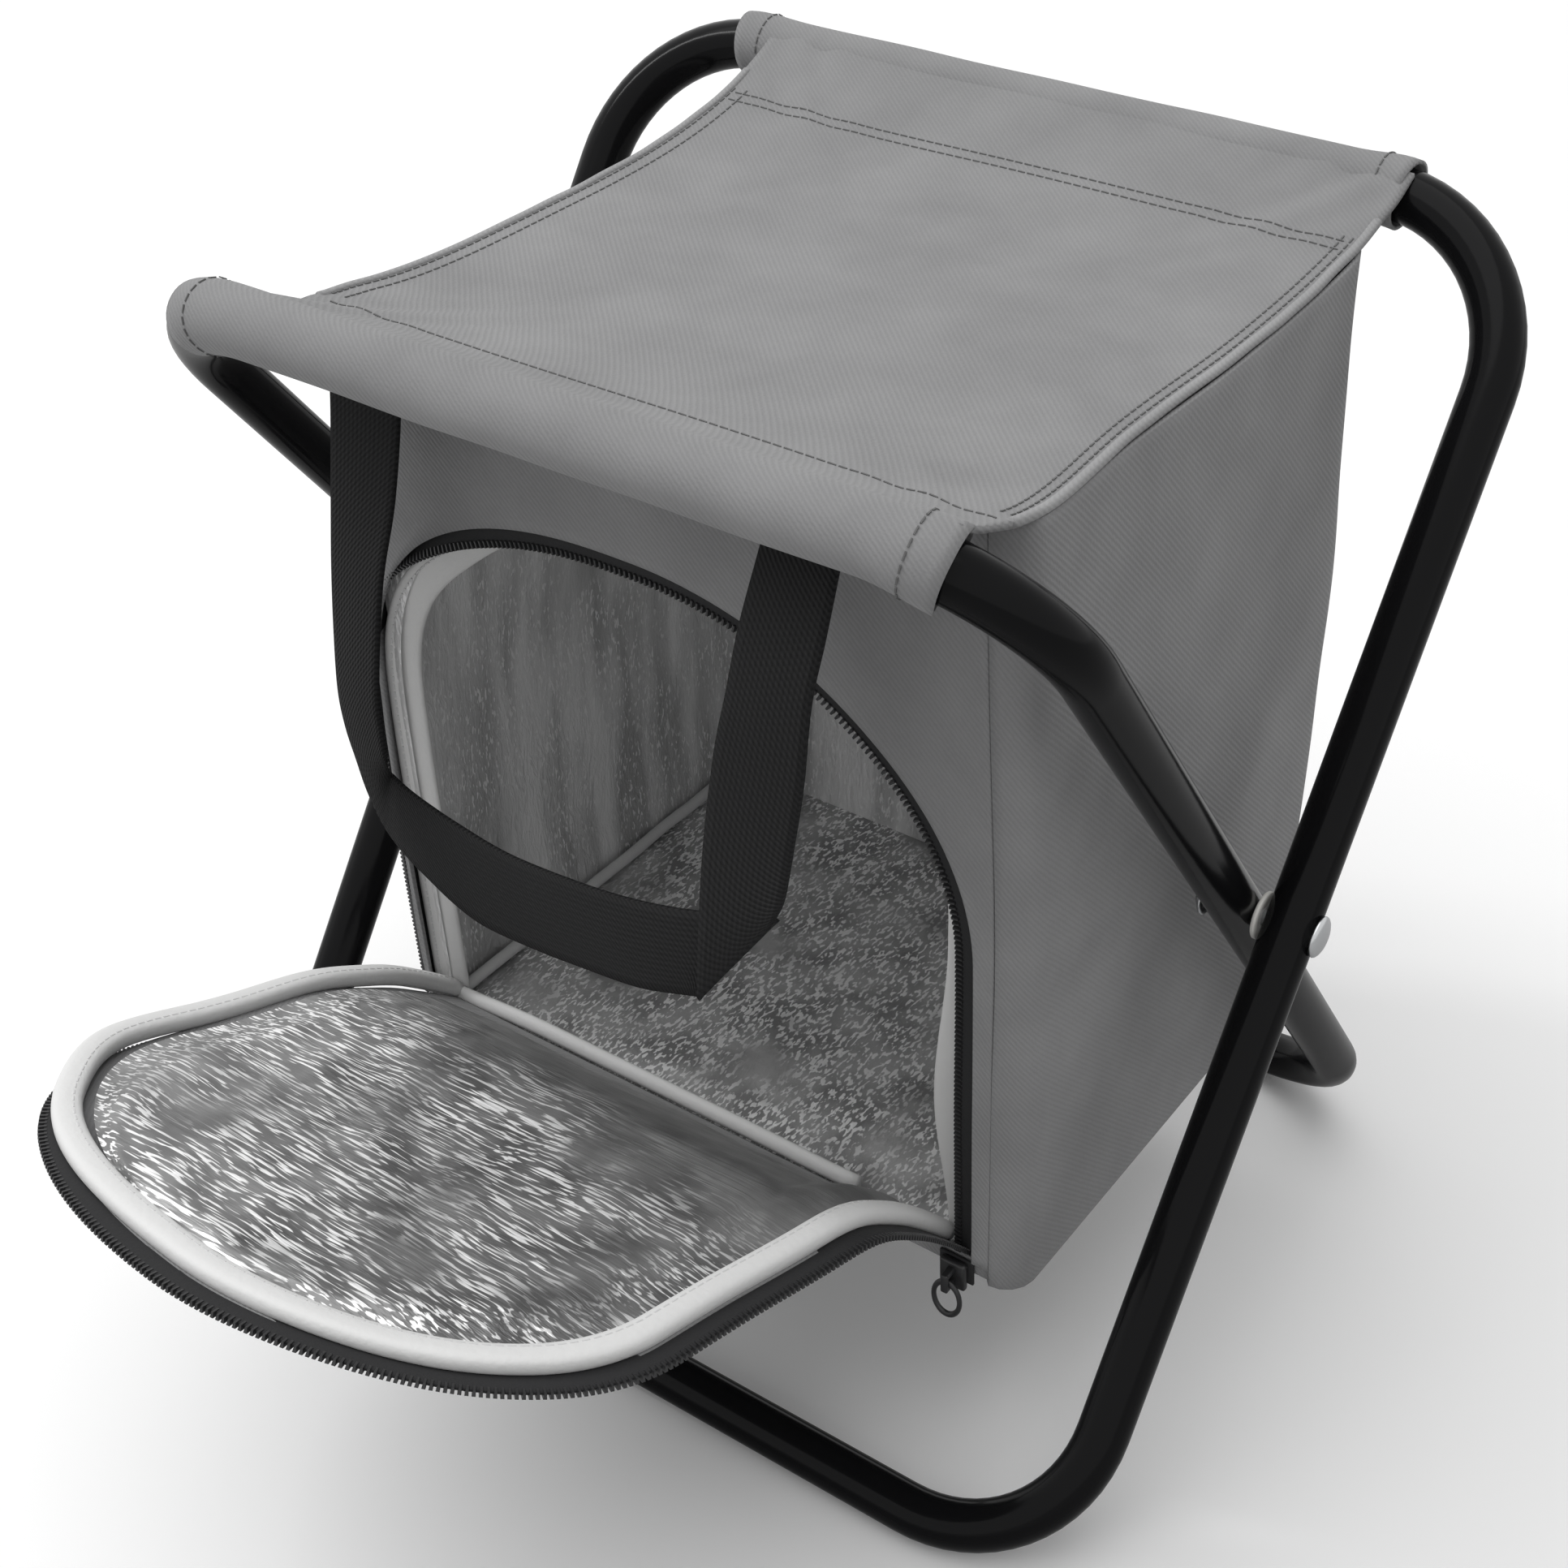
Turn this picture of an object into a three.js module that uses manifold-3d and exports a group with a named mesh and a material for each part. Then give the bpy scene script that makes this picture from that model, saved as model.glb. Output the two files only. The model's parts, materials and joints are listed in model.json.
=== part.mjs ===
// Folding cooler stool: two bent tube loops crossing at a rivet on each side, a sewn seat with a
// sleeve round each top bar, and an insulated bag under the seat with an arched zip flap in front.
// Millimetres, +Z up, front at -Y. The origin is the middle of the space it takes, on the floor.

import * as THREE from 'three';
import { mergeVertices } from 'three/addons/utils/BufferGeometryUtils.js';
import Module from 'manifold-3d';

const wasm = await Module();
wasm.setup();

const radians = THREE.MathUtils.degToRad;

// Clearances
const touchGap = 0.3;
const boreClearance = 0.3;
const cutOverrun = 5;

// Tube frames
const tubeDiameter = 16;
const tubeWall = 1.2;
const halfHeight = 171.8;
const outerAngle = radians(35.3);
const innerAngle = radians(37.2);
const outerHalfWidth = 160.5;
const tubeSpacing = 2;
const outerBendRadius = 50;
const innerBendRadius = 46;
const loopJointGap = 0.6;
const plugLength = 56;
const plugWall = 1.5;

// Pivot rivets
const shankRadius = 3;
const headRadius = 6.4;
const headHeight = 2.6;
const tailRadius = 4.6;
const tailHeight = 1.6;
const tailWasherRadius = 6.6;
const tailWasherThickness = 1;
const spacerRadius = 7.4;

// Seat and sleeves
const coverShift = 6;
const frontSleeveShift = 5;
const sleeveThickness = 1.4;
const sleeveOverhang = 1;
const seatInset = 2;
const seatThickness = 2.4;
const seatSag = 19;
const seatBindingWidth = 2;
const seatBindingHeight = 4.4;

// Bag
const bagSideGap = 17.5;
const bagWall = 3;
const liningThickness = 1;
const bagBottomZ = 74;
const frontBottomY = -83;
const frontLean = radians(3.08);
const rearFaceY = 92;
const panelTopBelowBar = 13.2;
const pipingSize = 3;

// Arched opening and its zip, all measured inwards from the edge of the cloth
const archShift = -6;
const archSideMargin = 9;
const archCrownDrop = 56.6;
const archRise = 93;
const hingeHeight = 8;
const tapeWidth = 4.6;
const tapeThickness = 1.2;
const tapeDepth = 0.9;
const teethWidth = 1.2;
const teethThickness = 2;
const teethDepth = 0.5;
const flapTapeWidth = 5.4;
const openingBindingWidth = 12;
const openingBindingThickness = 1.6;
const openingBindingOverlap = 1;

// Flap, in a lower strip and an upper arch. Open, the arch bends at the crease and hangs askew
// from its left end, and a slack gusset shows between the two.
const creaseHeight = 53;
const flapBaseAngle = radians(40);
const flapBendAngle = radians(30);
const flapSkewAngle = radians(7);
const gussetStart = 30;
const flapBindingWidth = 9.5;

// Slider, its end tab and its pull ring
const sliderWidth = 9;
const sliderHeight = 11;
const sliderThickness = 2.4;
const sliderTopDrop = 0.6;
const sliderShoulderShare = 0.72;
const sliderShoulderDropShare = 0.33;
const bridgeWidth = 2.4;
const bridgeLength = 7.6;
const bridgeHeight = 4.6;
const bridgeBoreRadius = 1.4;
const endTabWidth = 12;
const endTabHeight = 9.4;
const endTabThickness = 1.1;
const pullWireRadius = 0.8;
const pullHalfWidth = 4.6;
const pullHalfHeight = 6.4;

// Webbing handle
const webbingWidth = 23;
const webbingThickness = 1.6;
const handleInset = 40;
const handleBehindBar = 16.5;
const handleTopBelowBar = 10.6;
const handleLean = radians(9);
const handleLeftLength = 157;
const handleRightLength = 146;
const handleCornerRadius = 36;
const handleFoldWidth = 28;
const handleFoldHeight = 36;

// How finely the round forms are cut
const tubeArcSegments = 7;
const boreArcSegments = 5;
const ringSides = 16;
const bendSteps = 6;
const seatSteps = 13;
const archSteps = 14;
const cornerSteps = 5;
const wireSides = 8;
const pullRingSteps = 20;

const tubeRadius = tubeDiameter / 2;
const innerHalfWidth = outerHalfWidth - tubeDiameter - tubeSpacing;
const bagHalfWidth = innerHalfWidth - tubeRadius - bagSideGap;
const seatHalfWidth = bagHalfWidth - seatInset;
const sleeveHalfLength = bagHalfWidth + sleeveOverhang;
const handleHalfSpacing = seatHalfWidth - handleInset;
const archHalfWidth = bagHalfWidth - archSideMargin;
const outerHalfLeg = halfHeight / Math.cos(outerAngle);
const innerHalfLeg = halfHeight / Math.cos(innerAngle);
const pivotHeight = tubeRadius + halfHeight;
const barZ = pivotHeight + halfHeight;
const rearBarY = halfHeight * Math.tan(outerAngle);
const frontBarY = -halfHeight * Math.tan(innerAngle);
const sleeveOuterRadius = tubeRadius + touchGap + sleeveThickness;
const seatRimZ = barZ + sleeveOuterRadius;
const panelTopZ = barZ - panelTopBelowBar;
const archCentreX = coverShift + archShift;
const archSpringHeight = barZ - bagBottomZ - archCrownDrop - archRise;
const bagLeftX = coverShift - bagHalfWidth;
const bagRightX = coverShift + bagHalfWidth;
const teethOffset = touchGap + tapeWidth + touchGap;
const flapTeethOffset = teethOffset + teethWidth + touchGap;
const flapTapeOffset = flapTeethOffset + teethWidth + touchGap;
const flapPanelOffset = flapTapeOffset + flapTapeWidth + touchGap;
const flapLiningOffset = flapPanelOffset + flapBindingWidth + touchGap;

const finishes = {
  tube: { color: 0x17171a, roughness: 0.28, metalness: 0.4 },
  steel: { color: 0xb9bcc0, roughness: 0.3, metalness: 1 },
  nylon: { color: 0xd8d6cf, roughness: 0.5, metalness: 0 },
  cloth: { color: 0x7d7d7f, roughness: 0.92, metalness: 0 },
  foil: { color: 0xc4c6c9, roughness: 0.25, metalness: 0.9 },
  binding: { color: 0xd2d2d0, roughness: 0.8, metalness: 0 },
  tape: { color: 0x101011, roughness: 0.85, metalness: 0 },
  slider: { color: 0x1b1b1d, roughness: 0.35, metalness: 0.6 },
};

const stool = new THREE.Group();

function add(parent, name, finish, geometry) {
  const mesh = new THREE.Mesh(geometry, new THREE.MeshStandardMaterial(finishes[finish]));
  mesh.name = name;
  parent.add(mesh);
  return mesh;
}

function group(parent, x, y, z, turn) {
  const made = new THREE.Group();
  made.position.set(x, y, z);
  made.rotation.x = turn;
  parent.add(made);
  return made;
}

// Solids are cut with manifold and come back as plain triangle meshes

function toSolid(geometry) {
  const bare = geometry.clone();
  bare.deleteAttribute('normal');
  bare.deleteAttribute('uv');
  const merged = mergeVertices(bare);
  return new wasm.Manifold(new wasm.Mesh({
    numProp: 3,
    vertProperties: Float32Array.from(merged.attributes.position.array),
    triVerts: Uint32Array.from(merged.index.array),
  }));
}

function fromSolid(solid) {
  const mesh = solid.getMesh();
  const result = new THREE.BufferGeometry();
  result.setAttribute('position', new THREE.BufferAttribute(mesh.vertProperties, 3));
  result.setIndex(new THREE.BufferAttribute(mesh.triVerts, 1));
  result.computeVertexNormals();
  return result;
}

function cut(geometry, ...tools) {
  let solid = toSolid(geometry);
  for (const tool of tools) {
    solid = solid.subtract(toSolid(tool));
  }
  return fromSolid(solid);
}

// Basic forms

function block(x0, x1, y0, y1, z0, z1) {
  const box = new THREE.BoxGeometry(x1 - x0, y1 - y0, z1 - z0);
  return box.translate((x0 + x1) / 2, (y0 + y1) / 2, (z0 + z1) / 2);
}

const sideways = new THREE.Matrix4().makeBasis(
  new THREE.Vector3(0, 1, 0),
  new THREE.Vector3(0, 0, 1),
  new THREE.Vector3(1, 0, 0),
);

// An outline drawn in Y and Z, run along X
function alongX(outline, x0, x1) {
  const shape = new THREE.Shape(outline.map(([y, z]) => new THREE.Vector2(y, z)));
  const run = new THREE.ExtrudeGeometry(shape, { depth: x1 - x0, bevelEnabled: false });
  return run.applyMatrix4(sideways).translate(x0, 0, 0);
}

// A bore keeps its stated radius at the flats of its facets
function boreRadius(radius, sides) {
  return radius / Math.cos(Math.PI / sides);
}

function circleShape(radius, holeRadius) {
  const shape = new THREE.Shape();
  shape.absarc(0, 0, radius, 0, 2 * Math.PI);
  if (holeRadius > 0) {
    const hole = new THREE.Path();
    hole.absarc(0, 0, holeRadius, 0, 2 * Math.PI);
    shape.holes.push(hole);
  }
  return shape;
}

// A disc or ring with its axis on X
function ringAlongX(radius, holeRadius, x0, x1) {
  const ring = new THREE.ExtrudeGeometry(circleShape(radius, holeRadius), {
    depth: x1 - x0,
    bevelEnabled: false,
    curveSegments: ringSides / 2,
  });
  return ring.applyMatrix4(sideways).translate(x0, 0, 0);
}

// Bent tube loop: straight runs get one step each and every bend gets bendSteps

class LoopPath extends THREE.Curve {
  constructor(stations) {
    super();
    this.stations = stations;
  }

  getPoint(t, target = new THREE.Vector3()) {
    const last = this.stations.length - 1;
    const index = Math.min(Math.floor(t * last), last - 1);
    return target.lerpVectors(this.stations[index], this.stations[index + 1], t * last - index);
  }

  getUtoTmapping(u) {
    return u;
  }
}

const outerLoop = [outerHalfWidth, outerHalfLeg, outerBendRadius];
const innerLoop = [innerHalfWidth, innerHalfLeg, innerBendRadius];

function loopStations([halfWidth, halfLeg, bendRadius]) {
  const centreX = halfWidth - bendRadius;
  const centreZ = halfLeg - bendRadius;
  const stations = [new THREE.Vector3(loopJointGap / 2, 0, halfLeg)];
  const corners = [[1, 1, 90], [1, -1, 0], [-1, -1, -90], [-1, 1, 180]];
  for (const [sideX, sideZ, startDegrees] of corners) {
    for (let step = 0; step <= bendSteps; step++) {
      const angle = radians(startDegrees - (90 * step) / bendSteps);
      stations.push(new THREE.Vector3(
        sideX * centreX + bendRadius * Math.cos(angle),
        0,
        sideZ * centreZ + bendRadius * Math.sin(angle),
      ));
    }
  }
  stations.push(new THREE.Vector3(-loopJointGap / 2, 0, halfLeg));
  return stations;
}

function tubeLoop(size) {
  const stations = loopStations(size);
  const loop = new THREE.ExtrudeGeometry(circleShape(tubeRadius, tubeRadius - tubeWall), {
    steps: stations.length - 1,
    extrudePath: new LoopPath(stations),
    curveSegments: tubeArcSegments,
  });
  const reach = outerHalfWidth + tubeDiameter;
  const boreSides = boreArcSegments * 2;
  const drill = new THREE.CylinderGeometry(
    boreRadius(shankRadius + boreClearance, boreSides),
    boreRadius(shankRadius + boreClearance, boreSides),
    2 * reach,
    boreSides,
  );
  drill.rotateZ(Math.PI / 2);
  return cut(loop, drill);
}

function joiningPlug() {
  const radius = tubeRadius - tubeWall - touchGap;
  return ringAlongX(radius * Math.cos(Math.PI / (2 * tubeArcSegments)), radius - plugWall,
    -plugLength / 2, plugLength / 2);
}

// The part of a loop's top bar between two X values, bends included
function topBarStations(size, x0, x1) {
  const loop = loopStations(size);
  const top = [...loop.slice(-2 - bendSteps, -1), ...loop.slice(1, 2 + bendSteps)];
  const cutAt = (x) => {
    const next = top.findIndex((station) => station.x > x);
    const share = (x - top[next - 1].x) / (top[next].x - top[next - 1].x);
    return top[next - 1].clone().lerp(top[next], share);
  };
  return [cutAt(x0), ...top.filter((station) => station.x > x0 && station.x < x1), cutAt(x1)];
}

function sweptOnTopBar(shape, size, x0, x1) {
  const stations = topBarStations(size, x0, x1);
  return new THREE.ExtrudeGeometry(shape, {
    steps: stations.length - 1,
    extrudePath: new LoopPath(stations),
    curveSegments: ringSides / 2,
  });
}

function sleeve(size, shift) {
  const shape = circleShape(sleeveOuterRadius, boreRadius(tubeRadius + touchGap, ringSides));
  return sweptOnTopBar(shape, size, shift - sleeveHalfLength, shift + sleeveHalfLength);
}

function makeFrames() {
  const outer = group(stool, 0, 0, pivotHeight, -outerAngle);
  add(outer, 'outer_frame_tube', 'tube', tubeLoop(outerLoop));
  add(outer, 'outer_frame_joint_plug', 'steel', joiningPlug()).position.z = outerHalfLeg;
  add(outer, 'rear_sleeve', 'cloth', sleeve(outerLoop, 0));

  const inner = group(stool, 0, 0, pivotHeight, innerAngle);
  add(inner, 'inner_frame_tube', 'tube', tubeLoop(innerLoop));
  add(inner, 'inner_frame_joint_plug', 'steel', joiningPlug()).position.z = innerHalfLeg;
  add(inner, 'front_sleeve', 'cloth', sleeve(innerLoop, frontSleeveShift));
}

// A rivet is turned about X: domed head outside, shank through both tubes, rolled tail inside

function rivet() {
  const headFaceX = outerHalfWidth + tubeRadius + touchGap;
  const washerOuterX = innerHalfWidth - tubeRadius - touchGap;
  const tailFaceX = washerOuterX - tailWasherThickness - touchGap;
  const domeSteps = 4;
  const profile = [new THREE.Vector2(0, tailFaceX - tailHeight)];
  profile.push(new THREE.Vector2(tailRadius - tailHeight / 2, tailFaceX - tailHeight));
  profile.push(new THREE.Vector2(tailRadius, tailFaceX - tailHeight / 2));
  profile.push(new THREE.Vector2(tailRadius, tailFaceX));
  profile.push(new THREE.Vector2(shankRadius, tailFaceX));
  profile.push(new THREE.Vector2(shankRadius, headFaceX));
  for (let step = 0; step < domeSteps; step++) {
    const angle = (Math.PI / 2) * (step / domeSteps);
    profile.push(new THREE.Vector2(
      headRadius * Math.cos(angle),
      headFaceX + headHeight * Math.sin(angle),
    ));
  }
  profile.push(new THREE.Vector2(0, headFaceX + headHeight));
  return new THREE.LatheGeometry(profile, ringSides).rotateZ(-Math.PI / 2);
}

function washer(radius, x0, x1) {
  return ringAlongX(radius, boreRadius(shankRadius + boreClearance, ringSides), x0, x1);
}

function makePivots() {
  const pivot = group(stool, 0, 0, pivotHeight, 0);
  const spacerInnerX = innerHalfWidth + tubeRadius + touchGap;
  const spacerOuterX = outerHalfWidth - tubeRadius - touchGap;
  const tailWasherOuterX = innerHalfWidth - tubeRadius - touchGap;
  for (const [side, turn] of [['right', 0], ['left', Math.PI]]) {
    const forms = [
      [`pivot_rivet_${side}`, 'steel', rivet()],
      [`pivot_spacer_${side}`, 'nylon', washer(spacerRadius, spacerInnerX, spacerOuterX)],
      [`pivot_tail_washer_${side}`, 'steel',
        washer(tailWasherRadius, tailWasherOuterX - tailWasherThickness, tailWasherOuterX)],
    ];
    for (const [name, finish, geometry] of forms) {
      add(pivot, name, finish, geometry).rotation.z = turn;
    }
  }
}

// The seat drops steeply behind the bars and is nearly flat in the middle

function seatTop(y) {
  const share = (2 * y - frontBarY - rearBarY) / (rearBarY - frontBarY);
  return seatRimZ - seatSag * (1 - (share ** 2) ** 2);
}

function seatUnderside(y) {
  return seatTop(y) - seatThickness;
}

function curveBelowSeat(y0, y1, drop) {
  const points = [];
  for (let step = 0; step <= seatSteps; step++) {
    const y = y0 + ((y1 - y0) * step) / seatSteps;
    points.push([y, seatTop(y) - drop]);
  }
  return points;
}

function seatStrip(y0, y1, drop, thickness, x0, x1) {
  const upper = curveBelowSeat(y0, y1, drop);
  const lower = curveBelowSeat(y0, y1, drop + thickness).reverse();
  return alongX([...upper, ...lower], x0, x1);
}

function clearOfSleeves(geometry) {
  const shape = circleShape(boreRadius(sleeveOuterRadius + touchGap, ringSides), 0);
  const x0 = coverShift - seatHalfWidth - cutOverrun;
  const x1 = coverShift + seatHalfWidth + cutOverrun;
  const rear = sweptOnTopBar(shape, outerLoop, x0, x1);
  const front = sweptOnTopBar(shape, innerLoop, x0, x1);
  return cut(
    geometry,
    rear.rotateX(-outerAngle).translate(0, 0, pivotHeight),
    front.rotateX(innerAngle).translate(0, 0, pivotHeight),
  );
}

function makeSeat() {
  const left = coverShift - seatHalfWidth;
  const right = coverShift + seatHalfWidth;
  const overlap = sleeveOuterRadius / 2;
  add(stool, 'seat_panel', 'cloth', clearOfSleeves(seatStrip(frontBarY + overlap,
    rearBarY - overlap, 0, seatThickness, left, right)));
  const y0 = frontBarY + 2 * sleeveOuterRadius;
  const y1 = rearBarY - 2 * sleeveOuterRadius;
  const raised = seatThickness - seatBindingHeight;
  add(stool, 'seat_binding_left', 'cloth', seatStrip(y0, y1, raised,
    seatBindingHeight, left - touchGap - seatBindingWidth, left - touchGap));
  add(stool, 'seat_binding_right', 'cloth', seatStrip(y0, y1, raised,
    seatBindingHeight, right + touchGap, right + touchGap + seatBindingWidth));
}

// Y of the leaning front wall at a height, and at a depth behind its outer face
function frontY(z, depth) {
  return frontBottomY - (z - bagBottomZ) * Math.tan(frontLean) + depth / Math.cos(frontLean);
}

// Side wall outline between the front and rear walls, up to the seat
function sideOutline(frontDepth, rearDepth, z0, topDrop) {
  const rearY = rearFaceY - rearDepth;
  const frontTopY = frontY(panelTopZ, frontDepth);
  const top = curveBelowSeat(frontTopY, rearY, seatThickness + topDrop).reverse();
  return [[frontY(z0, frontDepth), z0], [rearY, z0], ...top];
}

function makeBag() {
  const wallTopZ = bagBottomZ + bagWall;
  const wallDepth = bagWall + touchGap;
  const innerLeft = bagLeftX + bagWall;
  const innerRight = bagRightX - bagWall;
  add(stool, 'bag_bottom', 'cloth',
    block(bagLeftX, bagRightX, frontBottomY, rearFaceY, bagBottomZ, wallTopZ));
  const side = sideOutline(wallDepth, wallDepth, wallTopZ + touchGap, touchGap);
  add(stool, 'bag_left_side', 'cloth', alongX(side, bagLeftX, innerLeft));
  add(stool, 'bag_right_side', 'cloth', alongX(side, innerRight, bagRightX));
  add(stool, 'bag_rear_panel', 'cloth', block(bagLeftX, bagRightX,
    rearFaceY - bagWall, rearFaceY, wallTopZ + touchGap, panelTopZ));

  const headerZ = panelTopZ + touchGap;
  const frontHeader = [
    [frontY(headerZ, 0), headerZ],
    [frontY(headerZ, bagWall), headerZ],
    [frontY(headerZ, bagWall), seatUnderside(frontY(headerZ, bagWall)) - touchGap],
    [frontY(headerZ, 0), seatUnderside(frontY(headerZ, 0)) - touchGap],
  ];
  add(stool, 'bag_front_header', 'cloth', alongX(frontHeader, bagLeftX, bagRightX));
  const rearHeader = [
    [rearFaceY - bagWall, headerZ],
    [rearFaceY, headerZ],
    [rearFaceY, seatUnderside(rearFaceY) - touchGap],
    [rearFaceY - bagWall, seatUnderside(rearFaceY - bagWall) - touchGap],
  ];
  add(stool, 'bag_rear_header', 'cloth', alongX(rearHeader, bagLeftX, bagRightX));

  makeLining(innerLeft, innerRight, wallTopZ, wallDepth);
}

function makeLining(innerLeft, innerRight, wallTopZ, wallDepth) {
  const floorZ = wallTopZ + touchGap;
  const left = innerLeft + touchGap;
  const right = innerRight - touchGap;
  const liningDepth = wallDepth + liningThickness + touchGap;
  const frontDepth = liningDepth + openingBindingThickness + touchGap;
  const side = sideOutline(frontDepth, liningDepth, floorZ, touchGap + liningThickness + touchGap);
  add(stool, 'lining_left', 'foil', alongX(side, left, left + liningThickness));
  add(stool, 'lining_right', 'foil', alongX(side, right - liningThickness, right));
  add(stool, 'lining_top', 'foil', seatStrip(frontY(panelTopZ, wallDepth),
    rearFaceY - wallDepth, seatThickness + touchGap, liningThickness, left, right));
  const pipingLeft = left + liningThickness + touchGap;
  const pipingRight = right - liningThickness - touchGap;
  add(stool, 'lining_rear', 'foil', block(pipingLeft, pipingRight,
    rearFaceY - liningDepth + touchGap, rearFaceY - wallDepth, floorZ, panelTopZ));
  const y0 = frontY(bagBottomZ, liningDepth) + touchGap;
  const y1 = rearFaceY - liningDepth;
  add(stool, 'lining_piping_left', 'binding', block(pipingLeft, pipingLeft + pipingSize,
    y0, y1, floorZ, floorZ + pipingSize));
  add(stool, 'lining_piping_right', 'binding', block(pipingRight - pipingSize, pipingRight,
    y0, y1, floorZ, floorZ + pipingSize));
  const floorInset = pipingSize + touchGap;
  add(stool, 'lining_bottom', 'foil', block(pipingLeft + floorInset, pipingRight - floorInset,
    y0, y1, floorZ, floorZ + liningThickness));
}

// Arch outlines, drawn in X and the height up the front wall, moved inwards by an offset

function archPoints(offset, fromHeight) {
  const halfWidth = archHalfWidth - offset;
  const rise = archRise - offset;
  const points = [new THREE.Vector2(archCentreX + halfWidth, fromHeight)];
  for (let step = 0; step <= archSteps; step++) {
    const angle = (Math.PI * step) / archSteps;
    points.push(new THREE.Vector2(
      archCentreX + halfWidth * Math.cos(angle),
      archSpringHeight + rise * Math.sin(angle),
    ));
  }
  points.push(new THREE.Vector2(archCentreX - halfWidth, fromHeight));
  return points;
}

function archSheet(offset, fromHeight) {
  return new THREE.Shape(archPoints(offset, fromHeight));
}

function archBand(outerOffset, innerOffset, fromHeight) {
  const inner = archPoints(innerOffset, fromHeight).reverse();
  return new THREE.Shape([...archPoints(outerOffset, fromHeight), ...inner]);
}

// A plate in the front wall's frame, from one depth behind its outer face to another
function plate(shape, depth0, depth1) {
  const sheet = new THREE.ExtrudeGeometry(shape, { depth: depth1 - depth0, bevelEnabled: false });
  return sheet.translate(0, 0, -depth1);
}

function rectangle(x0, x1, v0, v1) {
  const corners = [[x0, v0], [x1, v0], [x1, v1], [x0, v1]];
  return new THREE.Shape(corners.map(([x, v]) => new THREE.Vector2(x, v)));
}

function makeFront() {
  const front = group(stool, 0, frontBottomY, bagBottomZ, Math.PI / 2 + frontLean);
  const topHeight = (panelTopZ - bagBottomZ) / Math.cos(frontLean) - bagWall * Math.tan(frontLean);
  const bottomHeight = bagWall + touchGap + bagWall * Math.tan(frontLean) + touchGap;
  const liningDepth = bagWall + touchGap;
  const bindingDepth = liningDepth + liningThickness + touchGap;
  const bandStart = hingeHeight + touchGap;

  const panel = rectangle(bagLeftX, bagRightX, bottomHeight, topHeight);
  panel.holes.push(archSheet(0, hingeHeight));
  add(front, 'bag_front_panel', 'cloth', plate(panel, 0, bagWall));

  const lining = rectangle(
    bagLeftX + liningDepth + liningThickness,
    bagRightX - liningDepth - liningThickness,
    bottomHeight + liningThickness + touchGap,
    topHeight - liningThickness,
  );
  lining.holes.push(archSheet(teethOffset, bandStart));
  add(front, 'lining_front', 'foil', plate(lining, liningDepth, liningDepth + liningThickness));

  const bindingOffset = teethOffset - openingBindingOverlap;
  add(front, 'opening_binding', 'binding', plate(
    archBand(bindingOffset, bindingOffset + openingBindingWidth, bandStart),
    bindingDepth,
    bindingDepth + openingBindingThickness,
  ));
  add(front, 'bag_zip_tape', 'tape', plate(
    archBand(touchGap, touchGap + tapeWidth, bandStart),
    tapeDepth,
    tapeDepth + tapeThickness,
  ));
  add(front, 'bag_zip_teeth', 'slider', plate(
    archBand(teethOffset, teethOffset + teethWidth, bandStart),
    teethDepth,
    teethDepth + teethThickness,
  ));
  makeFlap(front);
  makeSlider(front);
}

// The flap is drawn closed in the front wall, cut at the crease, and folded out

function strip(side, offset, width, v0, v1) {
  const outerX = archCentreX + side * (archHalfWidth - offset);
  const innerX = outerX - side * width;
  return rectangle(Math.min(outerX, innerX), Math.max(outerX, innerX), v0, v1);
}

function makeFlap(front) {
  const lower = group(front, 0, hingeHeight, 0, flapBaseAngle);
  const leftX = archCentreX - archHalfWidth + flapTeethOffset;
  const bent = group(lower, leftX, creaseHeight, 0, flapBendAngle);
  const upper = group(bent, 0, 0, 0, 0);
  upper.rotation.z = flapSkewAngle;
  const upperStart = hingeHeight + creaseHeight;
  const liningDepth = bagWall + touchGap;
  const v0 = touchGap;
  const v1 = creaseHeight - touchGap / 2;

  const bands = [
    ['flap_zip_teeth', 'slider', flapTeethOffset, teethWidth, teethDepth, teethThickness],
    ['flap_zip_tape', 'tape', flapTapeOffset, flapTapeWidth, tapeDepth, tapeThickness],
    ['flap_binding', 'binding', flapPanelOffset, flapBindingWidth, liningDepth, liningThickness],
  ];
  const sheets = [
    ['flap_panel', 'cloth', flapPanelOffset, 0, bagWall],
    ['flap_lining', 'foil', flapLiningOffset, liningDepth, liningThickness],
  ];
  for (const [name, finish, offset, width, depth, thickness] of bands) {
    for (const [sideName, side] of [['left', -1], ['right', 1]]) {
      add(lower, `${name}_lower_${sideName}`, finish,
        plate(strip(side, offset, width, v0, v1), depth, depth + thickness));
    }
    const arch = archBand(offset, offset + width, upperStart + touchGap / 2);
    add(upper, `${name}_upper`, finish,
      plate(arch, depth, depth + thickness).translate(-leftX, -upperStart, 0));
  }
  for (const [name, finish, offset, depth, thickness] of sheets) {
    const left = archCentreX - archHalfWidth + offset;
    const right = archCentreX + archHalfWidth - offset;
    add(lower, `${name}_lower`, finish,
      plate(rectangle(left, right, v0, v1), depth, depth + thickness));
    const arch = archSheet(offset, upperStart + touchGap / 2);
    add(upper, `${name}_upper`, finish,
      plate(arch, depth, depth + thickness).translate(-leftX, -upperStart, 0));
  }
  makeGusset(bent, liningDepth);
}

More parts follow.
